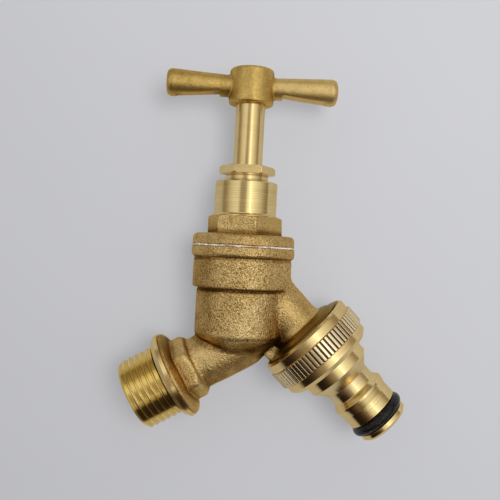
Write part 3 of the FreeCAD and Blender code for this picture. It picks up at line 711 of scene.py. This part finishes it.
def body_field(p):
    x, y, z = p[:, 0], p[:, 1], p[:, 2]
    vr = local(p, VALVE)
    chamber = outline(np.hypot(vr[0], vr[1]), vr[2], CHAMBER)
    orr = local(p, OUTLET)
    out_r = np.hypot(orr[0], orr[1])
    branch = outline(out_r, orr[2], BRANCH)
    ri = np.hypot(y, z)
    inlet = outline(ri, -x, SHOULDER)
    dome = np.sqrt((np.maximum(x - 23.4, 0)) ** 2 + y * y + z * z) - 7.7
    dome = np.maximum(dome, 12.0 - x)
    hx = hexagon(z, y, 8.5, 0.0)
    hx = smooth_max(hx, ri - 9.55, 0.3)
    cone = (ri - 9.55 + (x - 7.7) * 0.96) * 0.72
    hx = smooth_max(np.maximum(hx, np.maximum(3.7 - x, x - 8.9)), cone, 0.3)
    lug = np.maximum(np.maximum(8.2 - orr[0], orr[0] - 12.9), np.maximum(np.abs(orr[1]) - 2.2,
                     np.maximum(21.5 - orr[2], orr[2] - 26.3)))
    web = np.maximum(np.maximum(6.4 - orr[0], orr[0] - 9.5), np.maximum(np.abs(orr[1]) - 1.1,
                     np.maximum(18.5 - orr[2], orr[2] - 25.5)))
    lug = lug + 0.02 + 0.10 * (1 + lumps(p, 1.7, 3.1))
    pipe = smooth_min(inlet, dome, 0.3)
    pipe = smooth_min(pipe, hx, 0.35)
    d = smooth_min(chamber, branch, 1.1)
    d = smooth_min(d, pipe, 1.0)
    d = smooth_min(smooth_min(d, web, 0.4), lug, 0.5)
    # foundry surface: slow waves and small lumps, only inward of the drawn sizes
    rough = 0.055 * (1 + lumps(p, 3.4)) + 0.042 * (1 + lumps(p, 1.1, 5.3)) + 0.028 * (1 + lumps(p, 0.62, 9.7))
    machined = np.clip((1.0 - x) / 0.4, 0, 1) + np.clip((vr[2] - 27.4) / 0.2, 0, 1)
    d = d + rough * (1 - np.clip(machined, 0, 1))
    cavity = outline(np.hypot(vr[0], vr[1]), vr[2], CAVITY)
    way_in = np.where(x < 23.4, ri, np.sqrt((x - 23.4) ** 2 + ri ** 2)) - 5.75
    way_out = np.maximum(out_r - 5.6, 5 - orr[2])
    hole = np.minimum(np.minimum(cavity, way_in), way_out)
    return np.maximum(d, -hole)


def ramp01(v, lo, hi):
    w = np.clip((v - lo) / (hi - lo), 0, 1)
    return w * w * (3 - 2 * w)


def body_painted_light(p, u):
    """Painted light on the casting: painted shade under the chamber, on the tube's lower side, on the chamber's left
    side and at the outlet boss; darker behind the shoulder and on the hexagon's facets; painted highlights on the
    hexagon's end ridge, the tube's upper side, the branch's side and the lug.
    """
    ri = np.hypot(p[:, 1], p[:, 2])
    vx, vy, va = local(p, VALVE)
    ox, oy, os_ = local(p, OUTLET)
    orad = np.hypot(ox, oy)
    w = 0.75 + 0.35 * lumps(p, 2.6, 4.4)
    back = ramp01(p[:, 0], 2.1, 2.3) * ramp01(p[:, 0], 5.2, 4.5) * ramp01(ri, 9.0, 9.9)
    back = back * (1 - 0.55 * ramp01(-p[:, 2], 8.5, 12.0))
    facet = ramp01(p[:, 0], 4.6, 5.0) * ramp01(p[:, 0], 7.4, 7.0) * (ri < 9.9) * (ri > 8.0) * (va < -1.9)
    under = ramp01(va, 1.5, 1.2) * ramp01(va, -2.2, -1.2) * ramp01(-u @ VALVE_A, 0.25, 0.6)
    boss_ = ramp01(os_, 23.6, 25.0) * ramp01(orad, 8.3, 9.3) * ramp01(vx, 13.2, 9.9)
    low = ramp01(-u @ Z3, 0.30, 0.85) * ramp01(p[:, 0], 8.6, 9.4) * (va < 3)
    ridge = ramp01(p[:, 0], 7.2, 7.6) * ramp01(p[:, 0], 9.3, 8.8) * ramp01(ri, 8.3, 8.7) * (va < -1.5)
    side = ramp01(os_, 8.0, 11.0) * ramp01(os_, 23.8, 22.6) * ramp01(ox, -4.0, 2.0) * (va < 15) * (ri > 9.5)
    lug = ramp01(ox, 8.3, 8.9) * (np.abs(oy) < 2.8) * ramp01(os_, 21.2, 22.2) * (os_ < 26.6) * ramp01(-u @ Z3, 0.8, 0.5)
    left = ramp01(-u @ VALVE_X, 0.30, 0.72) * ramp01(va, 1.6, 3.0) * ramp01(va, 25.6, 24.2)
    top = ramp01(p[:, 0], 9.2, 10.0) * ramp01(-u @ Z3, 0.45, 0.1) * (va < -2.2) * (os_ < 22)
    # Painted shade adds to the hollow mark, painted highlights take from it.
    return (0.17 * back + 0.02 * facet * w + 0.28 * under * w + 0.10 * boss_ + 0.28 * low * w
            - 0.22 * ridge - 0.17 * top - 0.15 * side + 0.17 * left * (0.85 + 0.3 * w) - 0.5 * lug)


def body_tame(p):
    vx, vy, va = local(p, VALVE)
    return 0.8 - (0.8 - 0.4 * ramp01(va, 24.4, 24.9)) * ramp01(va, -1.9, -1.5) * (1 - ramp01(np.hypot(vx, vy), 13.6, 14.6) * (va < 15.5))


h_body = 0.35
body = cast("tap_body_casting", body_field, (-2.6, -16.2, -17.8), (58.5, 16.2, 33.0), h_body, 0.62, body_painted_light, body_tame)
finish_piece(body, CAST, "tap", "tap_body")

# inlet thread sleeve, right-hand, 14 to the inch
PITCH = 25.4 / 14
rows = rounded([(5.8, -1.0, 0), (5.8, 10.75, 0.05), (6.5, 11.45, 0.12), (9.4775, 11.45, 0.12), (10.4775, 10.45, 0.06),
                (10.4775, 0.75, 0.08), (9.35, 0.35, 0.15), (9.35, -1.0, 0)][::-1])
rows = refine(rows, 3.0, where=lambda q: (0.085) if q[0] > 8.8 and q[1] > 0.3 and q[1] < 11.44 else None)
# Painted reflection: a dark band below the front and a fainter one above it, fixed by angle round the inlet thread and
# its shoulder face.
def painted_reflection_bands(s, ph, R):
    d = np.degrees(ph) % 360
    w = np.clip((263 - d) / 14, 0, 1) * np.clip((d - 218) / 12, 0, 1)
    v = np.clip((d - 288) / 12, 0, 1) * np.clip((330 - d) / 16, 0, 1)
    return (w * w * (3 - 2 * w) * 0.84 + v * v * (3 - 2 * v) * (0.54 if s.max() > 1 else 0.1)) * (R > 9.0)


# Painted shade in the thread roots and next to the shoulder, painted highlights on the crests, painted reflection bands
# by angle.
sleeve = turned("inlet_thread", rows, INLET, 168, thread(PITCH, 10.4775, 0.36, 0.15, 0.06, 0.56), deep=2.0,
                bright=lambda r, s, R: np.clip((R - 10.13) / 0.12, 0, 1) * (s > 0.7), shade=painted_reflection_bands,
                painted_shade=lambda r, s: 0.5 * ((s < 0.72) & (r < 10.4)))
finish_piece(sleeve, THREAD, "tap", "tap_body")
rows = refine(rounded([(8.6, -2.42, 0), (12.3, -2.48, 0.02), (12.8, -2.42, 0.05), (12.8, -1.3, 0.10), (11.6, 0.0, 0.10), (8.6, 0.0, 0)][::-1][::-1]), 0.6)
# Painted shade on the inner part of the face next to the thread, with the same painted reflection bands.
band = turned("inlet_shoulder_face", rows, INLET, 220, painted_shade=lambda r, s: 0.9 * (r < 10.0), shade=painted_reflection_bands)
finish_piece(band, CONNECTOR, "tap", "tap_body")

# outlet boss with its thread, hidden by the hose nose until that is unscrewed
rows = rounded([(5.65, 24.0, 0), (5.65, 33.6, 0.05), (6.0, 34.0, 0.1), (12.62, 34.0, 0.1), (13.2205, 33.4, 0.06),
                (13.2205, 26.45, 0.06), (12.72, 25.9, 0.1), (11.0, 25.75, 0.1), (10.2, 24.9, 0.2), (7.0, 24.0, 0)][::-1])
rows = refine(rows, 3.0, where=lambda q: (0.1) if q[0] > 12.0 and q[1] > 26.0 else None)
# Painted shade in the thread roots and at the thread's base by the shoulder.
boss = turned("outlet_thread", rows, OUTLET, 168, thread(PITCH, 13.2205, 0.80, 0.4, 0.12, 0.36), deep=2.2,
              painted_shade=lambda r, s: np.clip((26.9 - s) / 0.5, 0, 0.85) * (r > 6.5))
finish_piece(boss, THREAD, "tap", "tap_body")

# ------------------------------------------------------------------ bonnet: gasket, cast part, turned tower
def ragged(r, s, ph, nr):
    p = np.stack([np.cos(ph) * 9, np.sin(ph) * 9, s * 1.2], -1)
    w = 0.55 * lumps(p, 0.9, 1.7) + 0.45 * lumps(p, 0.36, 4.2) + 0.5 * lumps(p, 4.5, 6.1)
    side = 0.15 * np.cos(ph - math.pi) + 0.22 * np.sin(ph + 0.35)
    return np.where(r > 14.0, np.minimum(r, 14.66 + 0.40 * w + side), r)


def wavy(r, s, ph):
    p = np.stack([np.cos(ph) * 9, np.sin(ph) * 9, s * 0.6], -1)
    return np.where(r > 14.45, 0.07 * lumps(p, 1.3, 2.4) + 0.04 * lumps(p, 0.5, 8.4), 0)


rows = refine(rounded([(11.05, 27.62, 0.02), (14.3, 27.60, 0.1), (15.05, 27.62, 0.08), (15.05, 28.04, 0.08), (14.3, 28.09, 0.1),
                      (11.05, 28.07, 0.02)]), 0.8, where=lambda q: 0.1 if q[0] > 14.3 else None)
# Darker, patchy band round the front of the gasket, fixed by angle.
def darker_front_patches(s, ph, R):
    p = np.stack([np.cos(ph) * 9, np.sin(ph) * 9, 0 * ph], -1)
    d = np.abs((np.degrees(ph) % 360) - 275)
    return np.clip((36 - d) / 14, 0, 1) * np.clip(0.55 + 0.9 * lumps(p, 0.8, 3.3), 0, 0.9)


gasket = turned("bonnet_gasket_ring", rows, VALVE, 540, ragged, lift=wavy, shade=darker_front_patches)
finish_piece(gasket, FIBRE, "tap", "bonnet_gasket")

FLANGE = [(0, 20.6), (10.35, 20.6), (10.9, 21.2), (10.9, 27.96), (14.72, 27.96), (14.78, 28.03), (14.78, 30.1),
          (14.4, 30.95), (13.55, 31.3), (0, 31.3)]
BORE = [(0, 20.0), (8.8, 20.0), (8.8, 22.6), (5.16, 23.5), (5.16, 40.0), (0, 40.0)]


def bonnet_field(p):
    x, y, a = local(p, VALVE)
    r = np.hypot(x, y)
    flange = outline(r, a, FLANGE)
    hx = smooth_max(hexagon(x, y, 9.72, -132.0), r - 11.35, 0.3)
    cone = (r - 11.35 + (a - 35.9) * 1.6) * 0.53
    hx = smooth_max(np.maximum(hx, np.maximum(30.0 - a, a - 36.6)), cone, 0.3)
    d = smooth_min(flange, hx, 0.5)
    rough = 0.05 * (1 + lumps(p, 2.9, 2.2)) + 0.04 * (1 + lumps(p, 1.0, 7.1)) + 0.026 * (1 + lumps(p, 0.6, 1.9))
    d = d + rough * np.clip((a - 28.2) / 0.3, 0, 1)
    return np.maximum(d, -outline(r, a, BORE))


# Painted light on the bonnet: painted shade on the hexagon's faces turned to the left, a little on those turned to the
# right, painted highlight on the rest of the hexagon, and a little darker below the hexagon.
def bonnet_painted_light(p, u):
    x, y, a = local(p, VALVE)
    facet = 0.20 * ramp01(-u @ VALVE_X, 0.55, 0.8) + 0.06 * ramp01(u @ VALVE_X, 0.4, 0.6) - 0.10
    return np.where(a > 31.4, facet, 0.115)


h_b = 0.27
bonnet = cast("bonnet_casting", bonnet_field, (17.0, -15.6, 10.0), (57.0, 15.6, 41.5), h_b, 0.62, bonnet_painted_light, lambda p: 0.35 + 0.65 * (local(p, VALVE)[2] > 31.4) * ramp01(local(p, VALVE)[0], 5.6, 6.6))
finish_piece(bonnet, BONNET, "tap", "bonnet")

rows = rounded([(5.2, 35.2, 0), (5.2, 37.8, 0.05), (4.3, 37.8, 0.05), (4.3, 39.3, 0.05), (6.15, 39.3, 0.05), (6.15, 46.1, 0.05),
                (6.45, 46.4, 0.06), (8.65, 46.4, 0.10), (8.95, 46.1, 0.12), (8.95, 37.1, 0.5), (9.45, 36.65, 0.12),
                (9.45, 36.2, 0.1), (8.9, 35.2, 0)][::-1])
tower = turned("bonnet_tower", refine(rows, 1.2), VALVE, 220)
finish_piece(tower, TOWER, "tap", "bonnet")

# ------------------------------------------------------------------ gland nut
def nut_change(r, s, ph, nr):
    return np.where(s > 48.55, np.minimum(r, hex_radius(ph, 7.0, 2.0)), r)


rows = rounded([(4.25, 43.3, 0.05), (5.75, 43.3, 0.05), (6.15, 43.7, 0.05), (6.15, 46.4, 0.02), (6.10, 46.45, 0.02), (6.10, 48.63, 0.03), (7.75, 48.66, 0.06),
                (8.08, 48.96, 0.06), (8.08, 50.45, 0.06), (7.5, 50.9, 0.08), (4.6, 50.9, 0.08), (4.25, 50.55, 0.05)])
rows = refine(rows, 0.5)


def neck_thread(r, s, ph, nr):
    r = nut_change(r, s, ph, nr)
    cut = thread(1.0, 6.15, 0.5)(r, s, ph, nr)
    return np.where((s < 46.3) & (r > 5.0), cut, r)


# Painted shade on the neck just under the nut's face and on the neck below 47 mm.
nut = turned("gland_nut_piece", refine(rows, 0.5, where=lambda q: 0.12 if q[0] > 6 and q[1] < 46.4 else None), VALVE, 360,
             neck_thread, start=math.radians(2.0), painted_shade=lambda r, s: 0.55 * (s < 48.6) * (s > 48.1) + 0.35 * (s < 47.0))
finish_piece(nut, POLISHED, "tap", "gland_nut")

# ------------------------------------------------------------------ spindle
rows = rounded([(0, 29.8), (3.05, 28.6, 0.1), (3.05, 14.65, 0.08), (4.6, 14.65, 0.1), (4.6, 17.6, 0.1), (5.0, 18.0, 0.05),
                (5.0, 30.3, 0.05), (4.2, 31.1, 0.1), (4.2, 69.6, 0.1), (3.8, 70.0, 0.1), (2.9, 70.0, 0.1), (2.9, 78.3, 0.1),
                (4.0, 79.2, 0.1), (3.75, 79.34, 0.2), (3.0, 79.53, 0.8), (0.0, 79.65)], closed=False)


def spindle_change(r, s, ph, nr):
    cut = thread(2.5, 5.0, 0.55)(r, s, ph, nr)
    return np.where((s > 17.9) & (s < 31) & (r > 3.6), cut, r)


spindle = turned("spindle_stem", refine(rows, 2.0, closed=False, where=lambda q: 0.2 if q[0] > 3.6 and 17.9 < q[1] < 31 else None),
                 VALVE, 128, spindle_change, closed=False)
finish_piece(spindle, POLISHED, "spindle_and_handle", "spindle")

# ------------------------------------------------------------------ crutch handle
HUB = [(0, 68.9), (6.25, 68.9), (6.55, 69.2), (6.45, 78.6), (5.85, 79.2), (0, 79.2)]
ARMS = [(0, -24.5), (2.5, -24.5), (3.55, -24.05), (4.0, -23.0), (3.15, -5.95), (3.15, 5.95), (4.0, 23.6), (3.55, 24.65),
        (2.5, 25.1), (0, 25.1)]
HAND_HOLE = [(0, 67), (4.2, 67), (4.2, 69.6), (3.8, 70.0), (2.95, 70.05), (2.95, 78.25), (4.0, 79.2), (4.0, 81), (0, 81)]


def handle_field(p):
    t, y, a = local(p, HANDLE)
    r = np.hypot(t, y)
    hub = outline(r, a, HUB)
    arms = outline(np.hypot(y, a - 74.0), t, ARMS)
    d = smooth_min(hub, arms, 0.7)
    slope = math.radians(6.1)
    flat = (-(a - 74.0) - (2.15 + (np.abs(t) - 9.2) * math.tan(slope))) * math.cos(slope)
    span = np.maximum(9.2 - np.abs(t), np.abs(t) - 21.4)
    d = smooth_max(d, np.minimum(flat, -span), 0.22)
    d = d + 0.035 * (1 + lumps(p, 3.0, 8.8)) + 0.02 * (1 + lumps(p, 1.0, 2.6))
    return np.maximum(d, -outline(r, a, HAND_HOLE))


# Painted light on the handle: painted shade on the arm at negative t, painted highlight on the arm at positive t.
def handle_painted_light(p, u):
    t = local(p, HANDLE)[0]
    return 0.15 * ramp01(-t, 6.0, 8.0) - 0.24 * ramp01(t, 6.0, 8.0)


h_h = 0.25
handle = cast("crutch_handle_casting", handle_field, (35.0, -8.4, 46.8), (84.4, 8.4, 81.0), h_h, 0.6, handle_painted_light)
finish_piece(handle, HANDLE_BRASS, "spindle_and_handle", "crutch_handle")

# ------------------------------------------------------------------ hose connector
RIBS = 70


def knurl(r, s, ph, nr):
    t = np.abs(((ph * RIBS / (2 * math.pi)) % 1.0) - 0.5) * 2      # 0 at a crest
    x = np.clip((t - 0.50) / 0.34, 0, 1)
    x = x * x * (3 - 2 * x)
    return np.where((r > 14.40) & (s > 29.15) & (s < 34.62) & (nr > -0.75), np.maximum(r - 0.46 * x, np.minimum(r, 14.385)), r)


rows = rounded([(8.0, 36.1, 0), (13.27, 36.02, 0.05), (13.27, 26.55, 0.05), (13.67, 26.15, 0.06), (13.67, 26.15, 0.0),
                (14.37, 26.85, 0.10), (14.37, 29.2, 0.03), (14.86, 29.5, 0.05), (14.86, 34.3, 0.05), (14.45, 34.6, 0.05),
                (14.05, 34.6, 0.04), (14.05, 36.7, 0.10), (12.8, 37.95, 0.14), (8.0, 37.9, 0)][:4]
               + [(14.37, 26.85, 0.10), (14.37, 29.2, 0.03), (14.86, 29.5, 0.05), (14.86, 34.3, 0.05), (14.45, 34.6, 0.05),
                  (14.05, 34.6, 0.04), (14.05, 36.7, 0.10), (12.8, 37.95, 0.14), (8.0, 37.9, 0)])
rows = refine(rows, 2.0, where=lambda q: 0.25 if q[0] > 14.3 and 29.0 < q[1] < 34.8 else None)


def collar_change(r, s, ph, nr):
    r2 = knurl(r, s, ph, nr)
    t = ((s / PITCH - ph / (2 * math.pi) + 0.9) % 1.0)
    d = np.clip(1.6 - np.abs(t - 0.5) * 5.0, 0, 1)
    inner = (nr < -0.9) & (r < 13.5) & (s < 33.0) & (s > 26.9)
    return np.where(inner, r + 0.5 * d, r2)


# Painted shade in the knurl's grooves and inside the mouth, painted highlights on the rib tops.
collar = turned("hose_connector_collar", rows, OUTLET, 1120, collar_change, deep=0.46,
                painted_shade=lambda r, s: 0.8 * (r < 13.6) * (s < 33), bright=lambda r, s, R: (R > 14.55) * (s > 29.1) * (s < 34.6))
finish_piece(collar, CONNECTOR, "hose_connector_body", "hose_connector")

rows = rounded([(5.0, 61.8, 0.08), (4.4, 61.2, 0.08), (4.4, 43.2, 0.1), (5.6, 42.0, 0.1), (5.6, 36.05, 0.02), (9.6, 36.06, 0.02),
                (9.98, 36.6, 0.05), (9.98, 41.4, 0.12), (7.02, 44.9, 0.35), (7.02, 48.2, 0.35), (8.34, 49.8, 0.10),
                (8.34, 50.4, 0.10), (7.9, 52.5, 0.3), (7.9, 56.1, 0.08), (7.6, 56.4, 0.06), (5.4, 56.4, 0.08), (5.4, 59.65, 0.08),
                (7.5, 59.65, 0.06), (7.7, 59.85, 0.06), (7.7, 61.0, 0.12), (6.9, 61.8, 0.12)])


def nose_change(r, s, ph, nr):
    w = np.clip((s - 50.6) / 0.3, 0, 1) * np.clip((56.0 - s) / 0.3, 0, 1) * (r > 7.0)
    return r - 0.006 * w * (0.5 + 0.5 * np.cos(2 * math.pi * s / 0.42))


# Painted shade on the neck between about 42 and 46.6 mm.
nose = turned("hose_connector_nose", refine(rows, 1.2, where=lambda q: 0.07 if q[0] > 7.2 and 50.5 < q[1] < 56.1 else None),
              OUTLET, 200, nose_change,
              painted_shade=lambda r, s: 0.5 * (r > 6.5) * np.clip((s - 41.8) / 1.5, 0, 1) * np.clip((46.6 - s) / 1.0, 0, 1))
finish_piece(nose, NOSE, "hose_connector_body", "hose_connector")

n = 28
rows = np.array([(6.98 + 1.57 * math.cos(t), 58.02 + 1.57 * math.sin(t), math.cos(t), math.sin(t))
                 for t in [2 * math.pi * k / n for k in range(n)]])
ring = turned("hose_connector_ring", rows, OUTLET, 160)
finish_piece(ring, RUBBER, "hose_connector_body", "hose_connector_o_ring")

# ------------------------------------------------------------------ pieces kept from the frame
for node, mat in {"gland_ring": POLISHED, "gland_packing": PACKING, "jumper_valve": POLISHED, "jumper_nut": POLISHED,
                  "jumper_washer": RUBBER, "hose_connector_washer": RUBBER}.items():
    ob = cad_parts[node]
    ob.data.materials.clear()
    ob.data.materials.append(mat)

# ------------------------------------------------------------------ camera
cam = bpy.data.cameras.new("camera")
cam.lens = 51.11
cam.sensor_width = 36.0
cam.shift_x, cam.shift_y = -0.02, 0.01
cam.clip_start, cam.clip_end = 0.005, 20
cam_ob = bpy.data.objects.new("camera", cam)
bpy.context.scene.collection.objects.link(cam_ob)
right = Vector((0.8910065, 0, -0.4539905))
up = Vector((0.4539905, 0, 0.8910065))
back = Vector((0, -1, 0))
m = Matrix.Identity(4)
for i in range(3):
    m[i][0], m[i][1], m[i][2] = right[i], up[i], back[i]
m.translation = Vector((0.03951, -0.206, 0.01976))
cam_ob.matrix_world = m
bpy.context.scene.camera = cam_ob

# ------------------------------------------------------------------ pale floor the tap lies on
size = 1.6
ground = mesh_object("floor_sheet", np.array([(-size, 0, -size), (size, 0, -size), (size, 0, size), (-size, 0, size)]) * 1000 + [39.5, 15.45, 19.8],
                     np.array([[0, 1, 2, 3]]), np.array([[0, -1, 0]] * 4, float))
p = Paint("floor_paper")
a = p.noise(p.at(0.02), 1.0, 2.0, 0.5)
colour = p.curve(a, [(0.3, (0.252, 0.259, 0.280)), (0.7, (0.256, 0.263, 0.284))])
p.finish(colour, 0.9, 0.0, None, Specular_IOR_Level=0.1)
# Painted light: the sheet also glows by itself for camera and glossy rays, brighter to the upper right, which lifts its
# shadows and stands in for a lamp's falloff.
slope = p.nt.nodes.new("ShaderNodeVectorMath")
slope.operation = "DOT_PRODUCT"
p.put(slope.inputs[0], p.coord)
slope.inputs[1].default_value = (0.33 * right.x + 0.40 * up.x, 0.0, 0.33 * right.z + 0.40 * up.z)
glow = p.nt.nodes.new("ShaderNodeEmission")
glow.inputs["Color"].default_value = (0.965, 0.970, 1.01, 1)
ray = p.nt.nodes.new("ShaderNodeLightPath")
seen_by = p.sum("MULTIPLY_ADD", ray.outputs["Is Glossy Ray"], 0.75, ray.outputs["Is Camera Ray"])
sloped_glow = p.sum("MAXIMUM", p.sum("MULTIPLY_ADD", slope.outputs["Value"], 1.0, 0.270), 0.0)
p.put(glow.inputs["Strength"], p.sum("MULTIPLY", sloped_glow, seen_by))
both = p.nt.nodes.new("ShaderNodeAddShader")
p.nt.links.new(p.bsdf.outputs[0], both.inputs[0])
p.nt.links.new(glow.outputs[0], both.inputs[1])
clear = p.nt.nodes.new("ShaderNodeBsdfTransparent")
geo = p.nt.nodes.new("ShaderNodeNewGeometry")
mixer = p.nt.nodes.new("ShaderNodeMixShader")
p.nt.links.new(geo.outputs["Backfacing"], mixer.inputs[0])
p.nt.links.new(both.outputs[0], mixer.inputs[1])
p.nt.links.new(clear.outputs[0], mixer.inputs[2])
p.nt.links.new(mixer.outputs[0], p.out.inputs[0])
ground.data.materials.append(p.mat)

# ------------------------------------------------------------------ light: a plain room all round and one soft lamp
world = bpy.data.worlds.new("room")
bpy.context.scene.world = world
world.use_nodes = True
nt = world.node_tree
nt.nodes.clear()
w_out = nt.nodes.new("ShaderNodeOutputWorld")
direction = nt.nodes.new("ShaderNodeTexCoord").outputs["Generated"]


def wdot(v):
    n = nt.nodes.new("ShaderNodeVectorMath")
    n.operation = "DOT_PRODUCT"
    nt.links.new(direction, n.inputs[0])
    n.inputs[1].default_value = v
    return n.outputs["Value"]


def wm(op, a, b=0.0, c=None):
    n = nt.nodes.new("ShaderNodeMath")
    n.operation = op
    for k, v in enumerate((a, b) if c is None else (a, b, c)):
        if isinstance(v, bpy.types.NodeSocket):
            nt.links.new(v, n.inputs[k])
        else:
            n.inputs[k].default_value = v
    return n.outputs[0]


def wstep(v, lo, hi, a=0.0, b=1.0):
    n = nt.nodes.new("ShaderNodeMapRange")
    n.interpolation_type = "SMOOTHSTEP"
    nt.links.new(v, n.inputs[0])
    for k, x in zip((1, 2, 3, 4), (lo, hi, a, b)):
        n.inputs[k].default_value = x
    return n.outputs[0]


def wbell(v, centre, width):
    d = wm("DIVIDE", wm("SUBTRACT", v, centre), width)
    return wm("EXPONENT", wm("MULTIPLY", wm("MULTIPLY", d, d), -1.0))


ea, eb, ec = wdot(tuple(right)), wdot(tuple(up)), wdot((0, -1, 0))
light = wstep(ec, 0.10, 0.88, 0.28, 0.80)
# a bright window right of the middle, with a narrow brighter pane
blob = wm("EXPONENT", wm("MULTIPLY", wm("ADD", wm("POWER", wm("DIVIDE", wm("SUBTRACT", ea, 0.33), 0.24), 2.0),
                                        wm("POWER", wm("DIVIDE", wm("SUBTRACT", eb, 0.03), 0.28), 2.0)), -1.0))
light = wm("ADD", light, wm("MULTIPLY", blob, 0.46))
strip = wm("MULTIPLY", wbell(ea, 0.31, 0.032), wstep(eb, -0.25, 0.06))
light = wm("ADD", light, wm("MULTIPLY", strip, 1.22))
# a dark shape from the middle down to the lower left, and a dark lower edge
AX, AY, BX, BY = -0.05, 0.30, -0.46, -0.76
dx, dy = BX - AX, BY - AY
along = wm("ADD", wm("MULTIPLY", wm("SUBTRACT", ea, AX), dx / (dx * dx + dy * dy)),
           wm("MULTIPLY", wm("SUBTRACT", eb, AY), dy / (dx * dx + dy * dy)))
along = wm("MINIMUM", wm("MAXIMUM", along, 0.0), 1.0)
px = wm("SUBTRACT", wm("SUBTRACT", ea, AX), wm("MULTIPLY", along, dx))
py = wm("SUBTRACT", wm("SUBTRACT", eb, AY), wm("MULTIPLY", along, dy))
away = wm("SQRT", wm("ADD", wm("MULTIPLY", px, px), wm("MULTIPLY", py, py)))
reach = wm("ADD", 0.16, wm("MULTIPLY", along, 0.19))
cover = wstep(wm("SUBTRACT", away, reach), -0.06, 0.07, 1.0, 0.0)
light = wm("MULTIPLY", light, wm("SUBTRACT", 1.0, wm("MULTIPLY", cover, wm("MULTIPLY_ADD", along, 0.34, 0.46))))
light = wm("MULTIPLY", light, wstep(eb, -0.70, -0.38, 0.21, 1.0))
light = wm("MULTIPLY", light, wstep(eb, 0.40, 0.66, 1.0, 0.94))
front = wstep(ec, -0.02, 0.03)
light = wm("ADD", wm("MULTIPLY", light, front), wm("MULTIPLY", wm("SUBTRACT", 1.0, front), 0.50))
cool = nt.nodes.new("ShaderNodeMix")
cool.data_type = "RGBA"
cool.blend_type = "MULTIPLY"
cool.inputs["Factor"].default_value = 1.0
comb = nt.nodes.new("ShaderNodeCombineColor")
for k in range(3):
    nt.links.new(light, comb.inputs[k])
nt.links.new(comb.outputs[0], cool.inputs[6])
tint = nt.nodes.new("ShaderNodeValToRGB")
nt.links.new(light, tint.inputs[0])
for place_at, col in ((0.02, (1.0, 0.66, 0.46)), (0.26, (1.0, 0.84, 0.68)), (0.50, (1.0, 0.97, 0.93)), (0.80, (1.0, 1.0, 1.0))):
    e = tint.color_ramp.elements[0] if place_at == 0.02 else (
        tint.color_ramp.elements[-1] if place_at == 0.80 else tint.color_ramp.elements.new(place_at))
    e.position = place_at
    e.color = (*col, 1)
nt.links.new(tint.outputs[0], cool.inputs[7])
seen = nt.nodes.new("ShaderNodeBackground")
nt.links.new(cool.outputs[2], seen.inputs["Color"])
seen.inputs["Strength"].default_value = 1.0
plain = nt.nodes.new("ShaderNodeBackground")
plain.inputs["Color"].default_value = (0.575, 0.585, 0.615, 1)
path = nt.nodes.new("ShaderNodeLightPath")
pick = nt.nodes.new("ShaderNodeMixShader")
nt.links.new(path.outputs["Is Camera Ray"], pick.inputs[0])
nt.links.new(seen.outputs[0], pick.inputs[1])
nt.links.new(plain.outputs[0], pick.inputs[2])
nt.links.new(pick.outputs[0], w_out.inputs[0])

lamp = bpy.data.lights.new("window", "AREA")
lamp.shape = "DISK"
lamp.size = 0.26
lamp.energy = 2.3
lamp.color = (1.0, 0.985, 0.96)
lamp_ob = bpy.data.objects.new("window", lamp)
bpy.context.scene.collection.objects.link(lamp_ob)
spot = Vector((0.0395, 0, 0.0198)) + right * 0.15 + up * 0.03 + back * 0.56
aim = Vector((0.0395, 0.0, 0.0198)) - spot
lamp_ob.matrix_world = Matrix.Translation(spot) @ aim.to_track_quat("-Z", "Y").to_matrix().to_4x4()
lamp_ob.visible_glossy = False

bpy.context.scene.view_settings.view_transform = "Standard"
bpy.context.scene.view_settings.look = "None"
